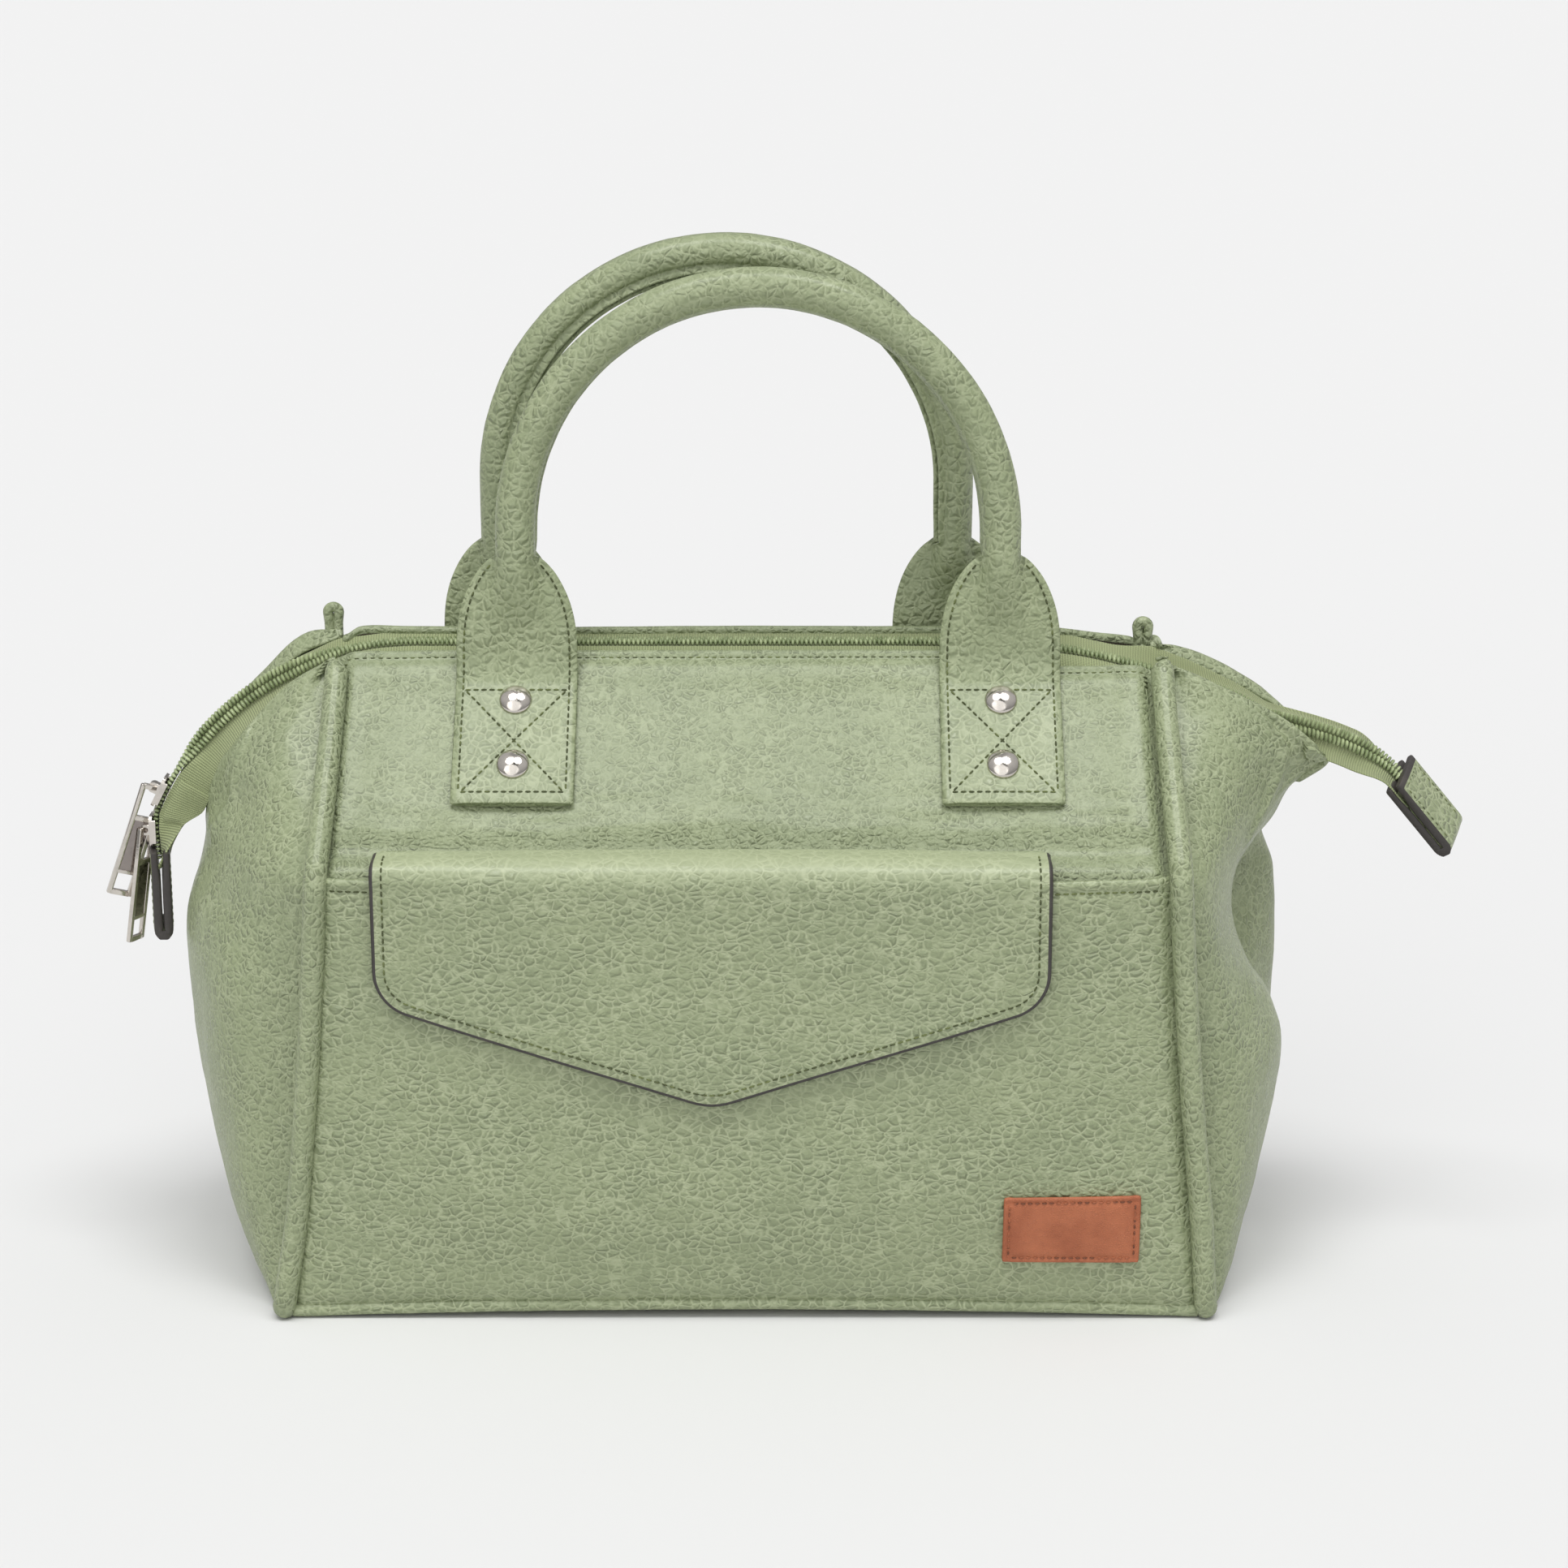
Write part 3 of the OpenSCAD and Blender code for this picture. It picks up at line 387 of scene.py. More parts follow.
def weave_rows():
    """Ribs across a woven band, with the fuzz of its yarn, and a mask for painted shade in the grooves
    between ribs.
    """
    tree, w, inp, out = group(
        "woven ribs",
        [("Vector", VECTOR, None), ("Rib", FLOAT, 0.9), ("Yarn", FLOAT, 0.5)],
        [("Height", FLOAT), ("Shade mask", FLOAT)])
    run, across, _ = w.split(inp.outputs[0])
    turn = w.math("DIVIDE", run, inp.outputs[1])
    other = w.math("DIVIDE", across, inp.outputs[2])
    ribs = w.math("SINE", w.math("MULTIPLY", turn, 2 * math.pi))
    yarns = w.math("SINE", w.math("MULTIPLY", w.math("MULTIPLY_ADD", turn, 0.5, other), 2 * math.pi))
    fuzz = w.noise(inp.outputs[0], 3.0, 2.0)
    height = w.math("MULTIPLY_ADD", yarns, 0.35, ribs)
    w.link(w.math("MULTIPLY_ADD", fuzz, 0.7, height), out.inputs[0])
    w.link(w.span(height, -1.2, 0.6), out.inputs[1])
    return tree


def rubbed_edges():
    """Mask of the edges that hands and corners rub, broken up by noise."""
    tree, w, inp, out = group(
        "rubbed edges",
        [("Vector", VECTOR, None), ("Sharpness", FLOAT, 0.56)],
        [("Mask", FLOAT)])
    geometry = w.add("ShaderNodeNewGeometry")
    patchy = w.noise(inp.outputs[0], 120.0, 3.0)
    high = w.math("ADD", inp.outputs[1], 0.16)
    edge = w.span(geometry.outputs["Pointiness"], inp.outputs[1], high)
    w.link(w.math("MULTIPLY", edge, w.span(patchy, 0.35, 0.65)), out.inputs[0])
    return tree


GRAIN = pebble_grain()
WRINKLES = wrinkle_lines()
WEAVE = weave_rows()
RUBBED = rubbed_edges()


def new_material(name):
    material = bpy.data.materials.new(name)
    material.use_nodes = True
    tree = material.node_tree
    tree.nodes.clear()
    w = Nodes(tree)
    shader = w.add("ShaderNodeBsdfPrincipled")
    surface = w.add("ShaderNodeOutputMaterial")
    w.link(shader.outputs[0], surface.inputs[0])
    return material, w, shader


def coordinates(w):
    return w.add("ShaderNodeTexCoord").outputs["Object"]


def placed(w, tree, coords, **values):
    """A group node with its coordinates and its own values."""
    node = w.add("ShaderNodeGroup", node_tree=tree)
    w.link(coords, node.inputs["Vector"])
    for label, value in values.items():
        w.feed(node.inputs[label.replace("_", " ")], value)
    return node


def bump(w, shader, height, distance):
    node = w.add("ShaderNodeBump")
    node.inputs["Distance"].default_value = distance
    node.inputs["Strength"].default_value = 1.0
    w.link(height, node.inputs["Height"])
    w.link(node.outputs[0], shader.inputs["Normal"])


def sage_leather(name, pebbles, depth, pale_share, pit_shade_share, stretch=(1, 1, 1.35), wrinkled=False,
                 hem_highlight=None):
    """Pebbled green leather: pale creases, painted shade in the pits and along the roof's wrinkles, a painted
    highlight on the flap's top band, a soft broken gloss.
    """
    material, w, shader = new_material(name)
    coords = coordinates(w)
    stretched = w.vector("MULTIPLY", coords, stretch)
    grain = placed(w, GRAIN, stretched, Pebbles_per_metre=pebbles, Crease=0.15)
    rubbed = placed(w, RUBBED, coords)
    tone = w.blend(w.span(grain.outputs["Tone"], 0.3, 0.7, 0.0, 0.35), SAGE, SAGE_DEEP)
    # painted shade: darker in the pits between the small pebbles
    pit_shaded = w.blend(w.math("MULTIPLY", grain.outputs["Pit mask"], pit_shade_share), tone, SAGE_DEEP)
    colour = w.blend(w.math("MULTIPLY", grain.outputs["Crease mask"], pale_share), pit_shaded, SAGE_CREASE)
    height = grain.outputs["Height"]
    if wrinkled:
        lines = placed(w, WRINKLES, coords).outputs[0]
        # painted shade: darker along the wrinkles, besides their dent in the bump
        colour = w.blend(w.math("MULTIPLY", lines, 0.1), colour, SAGE_SHADE)
        height = w.math("MULTIPLY_ADD", lines, -0.3, height)
    # painted highlight: the flap's top band is made paler with the crease colour, and its grain is smoothed
    # in the bump
    if hem_highlight:
        hem = w.span(w.split(coords)[2], *hem_highlight)
        colour = w.blend(w.math("MULTIPLY", hem, 0.5), colour, SAGE_CREASE)
        height = w.math("MULTIPLY", height, w.math("MULTIPLY_ADD", hem, -0.6, 1.0))
    worn = w.blend(w.math("MULTIPLY", rubbed.outputs[0], 0.4), colour, SAGE_CREASE)
    w.link(worn, shader.inputs["Base Color"])
    w.link(w.span(grain.outputs["Height"], 0.3, 1.2, 0.6, 0.34), shader.inputs["Roughness"])
    shader.inputs["Coat Weight"].default_value = 0.35
    shader.inputs["Coat Roughness"].default_value = 0.24
    bump(w, shader, height, depth)
    return material


def woven(name, colour, rib=0.9, yarn=0.5):
    """Ribbed cloth on along-across coordinates in millimetres."""
    material, w, shader = new_material(name)
    coords = w.add("ShaderNodeUVMap", uv_map="along_across").outputs[0]
    cloth = placed(w, WEAVE, coords, Rib=rib, Yarn=yarn)
    dark = toned(colour, 0.66)
    slow = w.noise(coordinates(w), 60.0, 2.0)
    # painted shade in the grooves between the ribs
    body = w.blend(cloth.outputs["Shade mask"], dark, colour)
    shade = toned(colour, 0.82)
    w.link(w.blend(w.span(slow, 0.35, 0.65, 0.0, 0.5), body, shade), shader.inputs["Base Color"])
    shader.inputs["Roughness"].default_value = 0.85
    shader.inputs["Sheen Weight"].default_value = 0.15
    bump(w, shader, cloth.outputs["Height"], 0.00012)
    return material


def thread(name, colour):
    """Twisted sewing thread, darker in the grooves of its twist as painted shade."""
    material, w, shader = new_material(name)
    coords = coordinates(w)
    wave = w.add("ShaderNodeTexWave", wave_type="BANDS", bands_direction="DIAGONAL")
    w.link(coords, wave.inputs["Vector"])
    wave.inputs["Scale"].default_value = 900.0
    wave.inputs["Distortion"].default_value = 1.5
    dark = toned(colour, 0.5)
    pale = toned(colour, 1.7)
    slow = w.span(w.noise(coords, 160.0, 1.0), 0.45, 0.62)
    # painted shade: darker where the twist's bump dips
    w.link(w.blend(slow, w.blend(wave.outputs["Fac"], dark, colour), pale), shader.inputs["Base Color"])
    shader.inputs["Roughness"].default_value = 0.6
    bump(w, shader, wave.outputs["Fac"], 0.0001)
    return material


def nylon_teeth():
    """Glossy green monofilament of the zip."""
    material, w, shader = new_material("zip nylon")
    coords = coordinates(w)
    slow = w.span(w.noise(coords, 240.0, 2.0), 0.35, 0.7)
    w.link(w.blend(slow, srgb(124, 138, 96), srgb(170, 182, 138)), shader.inputs["Base Color"])
    rough = w.span(w.noise(coords, 900.0, 2.0), 0.3, 0.7, 0.28, 0.45)
    w.link(rough, shader.inputs["Roughness"])
    bump(w, shader, w.noise(coords, 1800.0, 2.0), 0.00008)
    return material


def painted_edge():
    """Thick dark edge paint with soft brush lines."""
    material, w, shader = new_material("edge paint")
    coords = coordinates(w)
    worn = w.span(w.noise(coords, 90.0, 4.0), 0.5, 0.8, 0.0, 0.35)
    w.link(w.blend(worn, EDGE_PAINT, srgb(96, 90, 82)), shader.inputs["Base Color"])
    w.link(w.span(w.noise(coords, 300.0, 3.0), 0.3, 0.7, 0.35, 0.6), shader.inputs["Roughness"])
    bump(w, shader, w.noise(coords, 700.0, 3.0), 0.00015)
    return material


def tan_leather():
    """Smooth waxed tan leather with fine pores."""
    material, w, shader = new_material("tan leather")
    coords = coordinates(w)
    grain = placed(w, GRAIN, coords, Pebbles_per_metre=1400.0, Crease=0.12)
    cloud = w.span(w.noise(coords, 55.0, 5.0, 0.6), 0.35, 0.7)
    body = w.blend(cloud, TAN, srgb(158, 88, 56))
    w.link(w.blend(w.math("MULTIPLY", grain.outputs["Crease mask"], 0.25), body, srgb(130, 68, 42)),
           shader.inputs["Base Color"])
    w.link(w.span(cloud, 0.0, 1.0, 0.5, 0.62), shader.inputs["Roughness"])
    bump(w, shader, grain.outputs["Height"], 0.00012)
    return material


def plated(name, colour, rough_low, rough_high):
    """Plated metal with faint polishing marks."""
    material, w, shader = new_material(name)
    coords = coordinates(w)
    smear = w.noise(coords, 220.0, 4.0, 0.65)
    dull = toned(colour, 0.72)
    w.link(w.blend(w.span(smear, 0.3, 0.75, 0.0, 0.6), colour, dull), shader.inputs["Base Color"])
    w.link(w.span(smear, 0.3, 0.7, rough_low, rough_high), shader.inputs["Roughness"])
    shader.inputs["Metallic"].default_value = 1.0
    bump(w, shader, w.noise(coords, 1500.0, 2.0), 0.00002)
    return material


def plain_fibre(name, colour, scale, rough):
    """Board, foam and other hidden fillers, with a fibrous surface."""
    material, w, shader = new_material(name)
    coords = coordinates(w)
    fibre = w.noise(coords, scale, 5.0, 0.7)
    dark = toned(colour, 0.6)
    w.link(w.blend(w.span(fibre, 0.3, 0.7), dark, colour), shader.inputs["Base Color"])
    shader.inputs["Roughness"].default_value = rough
    bump(w, shader, fibre, 0.0002)
    return material


def lining_cloth():
    """Plain woven lining on object coordinates."""
    material, w, shader = new_material("lining cloth")
    coords = coordinates(w)
    cloth = placed(w, WEAVE, w.vector("SCALE", coords, scale=1000.0), Rib=0.8, Yarn=0.8)
    dark = toned(LINING_CLOTH, 0.6)
    # painted shade in the grooves between the ribs
    w.link(w.blend(cloth.outputs["Shade mask"], dark, LINING_CLOTH), shader.inputs["Base Color"])
    shader.inputs["Roughness"].default_value = 0.9
    bump(w, shader, cloth.outputs["Height"], 0.00008)
    return material


LEATHER = sage_leather("sage leather, pocket", 300.0, 0.0006, 0.6, 0.25)
FLAP_LEATHER = sage_leather("sage leather, flap", 300.0, 0.00055, 0.6, 0.25, hem_highlight=(0.15, 0.158))
ROOF_LEATHER = sage_leather("sage leather, roof", 400.0, 0.0006, 0.22, 0.25, (1, 1, 1.2), True)
FINE_LEATHER = sage_leather("sage leather, gussets", 390.0, 0.0006, 0.45, 0.2, (1, 1.3, 1))
ROLL_LEATHER = sage_leather("sage leather, handles", 330.0, 0.0006, 0.4, 0.2, (1, 1, 1))
LINED = lining_cloth()
TAPE = woven("zip tape", TAPE_GREEN)
TEETH = nylon_teeth()
PAINTED = painted_edge()
SEWN = thread("olive thread", THREAD_WITH_HOLE_SHADE)
PATCH = tan_leather()
SHINY = plated("polished nickel", NICKEL, 0.08, 0.2)
DARK_NICKEL = plated("mirror plate", srgb(150, 142, 138), 0.04, 0.12)
STEEL = plated("frame steel", srgb(150, 150, 150), 0.3, 0.5)
BOARD = plain_fibre("base board", srgb(120, 104, 84), 300.0, 0.9)
FOAM = plain_fibre("cord filler", srgb(196, 182, 160), 900.0, 0.95)


def padded_sheet(name, outer, inner, finishes, rim=0, uv=None, rim_steps=3):
    """Closed skin between two grids with a half-round edge. rim is the finish of that edge."""
    m, n = outer.shape[:2]
    size = m * n
    loop = [i * n for i in range(m)] + [(m - 1) * n + j for j in range(1, n)]
    loop += [i * n + n - 1 for i in range(m - 2, -1, -1)] + list(range(n - 2, 0, -1))
    flat_outer = outer.reshape(-1, 3)
    flat_inner = inner.reshape(-1, 3)
    middle = (flat_outer[loop] + flat_inner[loop]) / 2
    half = (flat_outer[loop] - flat_inner[loop]) / 2
    ahead = np.roll(middle, -1, axis=0) - np.roll(middle, 1, axis=0)
    out = unit(np.cross(ahead, half))
    if np.sum(out * (middle - middle.mean(axis=0))) < 0:
        out = -out
    rings = []
    for k in range(1, rim_steps + 1):
        a = math.pi * k / (rim_steps + 1)
        depth = np.linalg.norm(half, axis=1, keepdims=True)
        rings.append(middle + half * math.cos(a) + out * depth * math.sin(a))
    points = np.vstack([flat_outer, flat_inner] + rings)
    faces = quads(m, n) + quads(m, n, size)
    finish = [0] * ((m - 1) * (n - 1)) + [min(1, len(finishes) - 1)] * ((m - 1) * (n - 1))
    count = len(loop)
    levels = [loop] + [[2 * size + k * count + i for i in range(count)] for k in range(rim_steps)]
    levels.append([i + size for i in loop])
    for low, high in zip(levels, levels[1:]):
        for i in range(count):
            faces.append((low[i], low[(i + 1) % count], high[(i + 1) % count], high[i]))
            finish.append(rim)
    both = None
    if uv is not None:
        flat = uv.reshape(-1, 2)
        both = np.vstack([flat, flat] + [flat[loop]] * rim_steps)
    return piece(name, points, faces, finishes, finish, both, 60)


def surface_normals(surface, a, b, step=0.4):
    """Unit normals of a surface(a, b), by small steps."""
    da = surface(a + step, b) - surface(a - step, b)
    db = surface(a, b + step) - surface(a, b - step)
    return unit(np.cross(da, db))


def stitch_row(path, ups, pitch=2.6, length=1.85, lift=0.12):
    """Starts, ends and ups of the stitches along a path."""
    path = np.asarray(path, float)
    ups = np.asarray(ups, float)
    s = along(path)
    count = max(1, int(s[-1] / pitch))
    first = (s[-1] - (count - 1) * pitch - length) / 2 + np.arange(count) * pitch

    def at(where):
        return np.stack([np.interp(where, s, path[:, k]) for k in range(3)], 1)

    up = np.stack([np.interp(first, s, ups[:, k]) for k in range(3)], 1)
    up = unit(up) * lift
    return at(first) + up, at(first + length) + up, unit(up)


def sewing(name, rows, finish=None, width=0.62):
    """One object with the stitches of several rows."""
    starts = np.vstack([r[0] for r in rows])
    ends = np.vstack([r[1] for r in rows])
    ups = np.vstack([r[2] for r in rows])
    points, faces = bars(starts, ends, ups, width, 0.5, 0.12)
    return piece(name, points, faces, [finish or SEWN])


def dense(count, share=0.9):
    """Shares from -1 to 1 that lie closer together towards the ends."""
    t = np.linspace(-1, 1, count) * math.pi / 2 * share
    return np.sin(t) / math.sin(math.pi / 2 * share)


def bump_at(distance, width):
    """A bell of height 1 at distance 0."""
    return np.exp(-(np.asarray(distance) / width) ** 2)


def skin_section():
    """Roof, soft bend, wall and foot as (outward, up), their normals, and the run from the lip."""
    down = np.array([math.cos(PITCH), -math.sin(PITCH)])
    out = np.array([math.sin(PITCH), math.cos(PITCH)])
    lip = np.array([LIP_Y, LIP_Z])
    corner = np.array([WALL_Y, BREAK_Z - (WALL_Y - BREAK_Y) * math.tan(PITCH)])
    turn = math.pi / 2 - PITCH
    bend_r = 9.0
    cut = bend_r * math.tan(turn / 2)
    roof_end = np.linalg.norm(corner - lip) - cut
    rows = [(lip + down * run, out) for run in np.linspace(1.5, roof_end, 56)]
    centre = lip + down * roof_end - out * bend_r
    for a in np.linspace(0, turn, 9)[1:]:
        n = np.array([math.sin(PITCH + a), math.cos(PITCH + a)])
        rows.append((centre + n * bend_r, n))
    wall_top = rows[-1][0][1]
    foot_r = 4.0
    for z in np.linspace(wall_top, foot_r, 34)[1:]:
        rows.append((np.array([WALL_Y, z]), np.array([1.0, 0.0])))
    for a in np.linspace(0, math.pi / 2, 6)[1:]:
        n = np.array([math.cos(a), -math.sin(a)])
        rows.append((np.array([WALL_Y - foot_r, foot_r]) + n * foot_r, n))
    points = np.array([r[0] for r in rows])
    return points, np.array([r[1] for r in rows]), along(points) + 1.5


SECTION, SECTION_OUT, SECTION_RUN = skin_section()


def lip_drop(x, side):
    """How far the lip has slid down the roof: the front one more, and both more towards their ends."""
    if side < 0:
        return 2.1 + np.where(x < 0, 1.0 * smooth((np.abs(x) - 92) / 43), 6.2 * smooth((np.abs(x) - 76) / 26))
    return np.where(x < 0, 0.4, 7.0) * smooth((np.abs(x) - 98) / 34)


def skin_surface(side, share, run, swell=0.0, under=0.0):
    """Points of a wall and roof skin. share runs across from -1 to 1, side is -1 for the front."""
    share, run = np.broadcast_arrays(np.asarray(share, float), np.asarray(run, float))
    d, z = (np.interp(run, SECTION_RUN, SECTION[:, k]) for k in range(2))
    nd, nz = (np.interp(run, SECTION_RUN, SECTION_OUT[:, k]) for k in range(2))
    x = share * (edge_x(z) - 1.7)
    slide = lip_drop(x, side) * np.clip(1 - run / 70, 0, 1) ** 1.5
    d = d + slide * math.cos(PITCH)
    z = z - slide * math.sin(PITCH)
    place = np.stack([x, side * d, z], -1)
    edge = edge_x(z) - 1.7 - np.abs(x)
    up = np.clip((z - 4) / (BREAK_Z - 4), 0, 1)
    out = swell * (1 - np.abs(share) ** 4) * np.sin(np.pi / 2 * np.minimum(1, up / 0.5))
    out = out * np.sin(np.pi / 2 * np.minimum(1, (1 - up) / 0.5))
    out += 0.6 * bump_at(edge - 9, 7) - 2.8 * bump_at(edge, 2.6)
    out += 0.6 * bump_at(run, 1.9) - 0.8 * bump_at(run - 3.6, 0.9) + 0.4 * bump_at(run - 9, 6)
    out += (3.7 if side > 0 else 0.0) * bump_at(run, 7) - (1.3 if side < 0 else 0.0) * bump_at(run - 76, 5)
    out += 0.5 * relief(place, 46.0) + 0.08 * relief(place, np.array([13.0, 9, 9]), 7)
    low_roof = bump_at(run - 66, 15) * smooth((edge - 4) / 10)
    out += 0.3 * low_roof * relief(place, np.array([22.0, 4.5, 4.5]), 3)
    out -= under
    place = place + np.stack([0 * x, side * nd * out, nz * out], -1)
    foot = ARCH * (1 - share ** 2) * np.clip(1 - z / 40, 0, 1)
    return place + np.stack([0 * x, 0 * x, foot], -1)


def skin_half(name, side, swell, *nodes):
    """Front or rear leather: rolled lip, roof, bend, wall and turned foot in one piece."""
    share = dense(131)[None, :]
    run = SECTION_RUN[:, None]
    thick = np.interp(run, [0, 80, 92, 400], [3.0, 3.0, 2.0, 2.0])
    outer = skin_surface(side, share, run, swell)
    inner = skin_surface(side, share, run, swell, thick)
    obj = padded_sheet(name, outer, inner, [ROOF_LEATHER, LINED])
    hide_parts(*nodes)
    return obj


def follow_frame(obj):
    """Bakes obj's placement into its points."""
    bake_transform(obj)


def lip_stitches(side):
    """The row of stitches along the lip and the short ones at its ends."""
    share = np.linspace(-0.985, 0.985, 240)

    def surface(a, b):
        return skin_surface(side, a / 132.0, b)

    run = np.full_like(share, 3.2)
    path = surface(share * 132.0, run)
    ups = surface_normals(surface, share * 132.0, run)
    ups = ups * np.sign(ups[:, 2:3])
    rows = [stitch_row(path, ups)]
    for end in (-1, 1):
        for run_at in (5.2, 7.4, 9.6):
            x = end * np.array([128.6, 131.2])
            p = surface(x, np.full(2, run_at))
            u = surface_normals(surface, x, np.full(2, run_at))
            rows.append(stitch_row(p, u * np.sign(u[:, 2:3]), 2.6, 2.0))
    return sewing("lip stitches " + half_of(side), rows)


POCKET_FOOT = 3.4
POCKET_TOP = 149.2


def pocket_depth(x, z):
    """Outward place of the pocket's face."""
    across = np.clip(x / (edge_x(z) - 3.6), -1, 1)
    up = np.clip((z - 4.3) / (150.5 - 4.3), 0, 1)
    swell = (1 - np.abs(across) ** 4) * np.sin(np.pi / 2 * np.minimum(1, up / 0.35))
    return 68.8 + 6.0 * swell


def pocket_surface(x, z, under=0.0):
    """Points of the pocket's face, soft and slightly uneven."""
    x, z = np.broadcast_arrays(np.asarray(x, float), np.asarray(z, float))
    edge = edge_x(z) - 1.5 - np.abs(x)
    top = POCKET_TOP + 1.2 - z
    out = pocket_depth(x, z) - under
    out = out + 0.3 * bump_at(edge - 8, 6) - 2.2 * bump_at(edge, 2.8)
    out += 0.3 * bump_at(top, 2.6) - 0.4 * bump_at(top - 4.0, 0.9) - 1.8 * bump_at(z - POCKET_FOOT, 3)
    place = np.stack([x, -out, z], -1)
    out = out + 0.5 * relief(place, 46.0, 11) + 0.12 * relief(place, 15.0, 5)
    arch = ARCH * (1 - (x / EDGE_BOTTOM) ** 2) * np.clip(1 - z / 40, 0, 1)
    return np.stack([x, -out, z + arch], -1)


def pocket_panel():
    """Pocket leather over the whole front, with its folded hem."""
    z = np.concatenate([np.linspace(POCKET_FOOT, 12, 7), np.linspace(14, 138, 50),
                        np.linspace(140, POCKET_TOP, 14)])[:, None]
    x = dense(131)[None, :] * (edge_x(z) - 1.5)
    thick = np.interp(z, [0, 138, 144, 200], [2.0, 2.0, 2.5, 2.5])
    obj = padded_sheet("pocket panel", pocket_surface(x, z), pocket_surface(x, z, thick), [LEATHER, LINED])
    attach(obj, "shell")
    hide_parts("pocket_panel")
    width = edge_x(POCKET_TOP) - 5
    x = np.linspace(-width, width, 260)
    z = np.full_like(x, POCKET_TOP + 1.2 - 4.0)
    ups = -np.abs(surface_normals(pocket_surface, x, z)) * [0, 1, 0]
    rows = [stitch_row(pocket_surface(x, z), ups)]
    sewn = sewing("pocket stitches", rows)
    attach(sewn, "shell")


PATCH_X, PATCH_Z, PATCH_W, PATCH_H, PATCH_T = 105.6, 33.0, 44.5, 24.0, 1.5
# Distance of the patch's stitches from its edge
PATCH_SEW = 1.9


def patch_surface(a, b, lift=0.0):
    """Points of the patch's face. a runs across and b up, from its middle."""
    a, b = np.broadcast_arrays(np.asarray(a, float), np.asarray(b, float))
    turn = math.radians(0.4)
    x = PATCH_X + a * math.cos(turn) + b * math.sin(turn)
    z = PATCH_Z + b * math.cos(turn) - a * math.sin(turn)
    y = -pocket_depth(x, z) - 0.5 - lift - 0.5 * relief(np.stack([x, -pocket_depth(x, z), z], -1), 46.0, 11)
    arch = ARCH * (1 - (x / EDGE_BOTTOM) ** 2) * np.clip(1 - z / 40, 0, 1)
    sink = 0.35 * bump_at(PATCH_W / 2 - np.abs(a) - PATCH_SEW, 0.8)
    sink = sink + 0.35 * bump_at(PATCH_H / 2 - np.abs(b) - PATCH_SEW, 0.8)
    return np.stack([x, y + sink, z + arch], -1)


def leather_patch():
    """Bare tan patch, sewn on all round."""
    a = dense(41, 0.8)[None, :] * (PATCH_W / 2 - PATCH_T / 2)
    b = dense(25, 0.8)[:, None] * (PATCH_H / 2 - PATCH_T / 2)
    obj = padded_sheet("tan patch", patch_surface(a, b, PATCH_T), patch_surface(a, b), [PATCH])
    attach(obj, "shell")
    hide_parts("leather_patch")
    w = PATCH_W / 2 - PATCH_SEW
    h = PATCH_H / 2 - PATCH_SEW
    corners = np.array([[-w, -h], [w, -h], [w, h], [-w, h], [-w, -h]])
    rows = []
    for p, q in zip(corners, corners[1:]):
        way = p + (q - p) * np.linspace(0, 1, 30)[:, None]
        path = patch_surface(way[:, 0], way[:, 1], PATCH_T)
        rows.append(stitch_row(path, np.tile([0, -1.0, 0], (30, 1)), 2.3, 1.6))
    sewn = sewing("patch stitches", rows, TAN_SEWN)
    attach(sewn, "shell")


def base_leather():
    """Base leather with a slight arch between its corners."""
    share = np.linspace(-1, 1, 61)
    x = share[None, :] * 150.5
    y = np.linspace(-1, 1, 31)[:, None] * 63.5
    x, y = np.broadcast_arrays(x, y)
    z = ARCH * (1 - (x / EDGE_BOTTOM) ** 2) * 0.9 + 0.2 * relief(np.stack([x, y, 0 * x], -1), 30.0)
    reach = np.hypot(np.maximum(0, np.abs(x) - 140) / 10, np.maximum(0, np.abs(y) - 56) / 8)
    corner = smooth((reach - 0.9) / 0.4)
    under = np.stack([x - np.sign(x) * corner * 2, y - np.sign(y) * corner * 2, z + 0.3], -1)
    obj = padded_sheet("base leather", under, under + [0, 0, 2.0], [LEATHER, LINED])
    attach(obj, "shell")
    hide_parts("base_panel")


def covered_cord(path, side, radius, round_start, round_end, step=1.6):
    """Rings of a leather-covered cord with rounded ends and a slightly uneven girth."""
    path = resample(path, max(12, int(along(np.asarray(path))[-1] / step)))
    s = along(path)
    r = np.full(len(path), radius) + 0.12 * relief(path, 9.0, 2)
    if round_end:
        left = np.clip((s[-1] - s) / radius, 0, 1)
        r = r * np.sqrt(np.maximum(1 - (1 - left) ** 2, 0.02))
    if round_start:
        left = np.clip(s / radius, 0, 1)
        r = r * np.sqrt(np.maximum(1 - (1 - left) ** 2, 0.02))
    return tube(path, np.tile(np.asarray(side, float), (len(path), 1)), r, 20)


# How far the side pipings stand out of the leather, radii of the pipings and of the loops
PROUD = 2.1
SIDE_PIPING_R = 3.8
BOTTOM_PIPING_R = 2.3
LOOP_R = 1.75
# Lowest height of a side piping's middle, about its radius above the floor
PIPING_FOOT = 3.9


def side_piping(end, side):
    """Rings of the piping up one edge of a wall and its roof."""
    pts = []
    for p, out in zip(SECTION, SECTION_OUT):
        if p[1] > LIP_Z - 4.5:
            continue
        z = p[1]
        lift = PROUD if z > 10 else PROUD * z / 10
        x = end * edge_x(z) + 1.5 * smooth(z / 40)
        pts.append([x, side * (p[0] + out[0] * lift), max(z + out[1] * lift, PIPING_FOOT)])
    pts = np.array(pts)[::-1]
    slide = (2.4 if side < 0 else 1.0) * np.clip((pts[:, 2] - 165) / 45, 0, 1)
    pts[:, 1] += side * slide * 0.69
    pts[:, 2] -= slide * 0.73
    top = pts[-1] + [-end * 0.9, -side * 1.2, 0.3]
    pts = np.vstack([pts, top])
    return covered_cord(pts, [1, 0, 0], SIDE_PIPING_R, False, True)


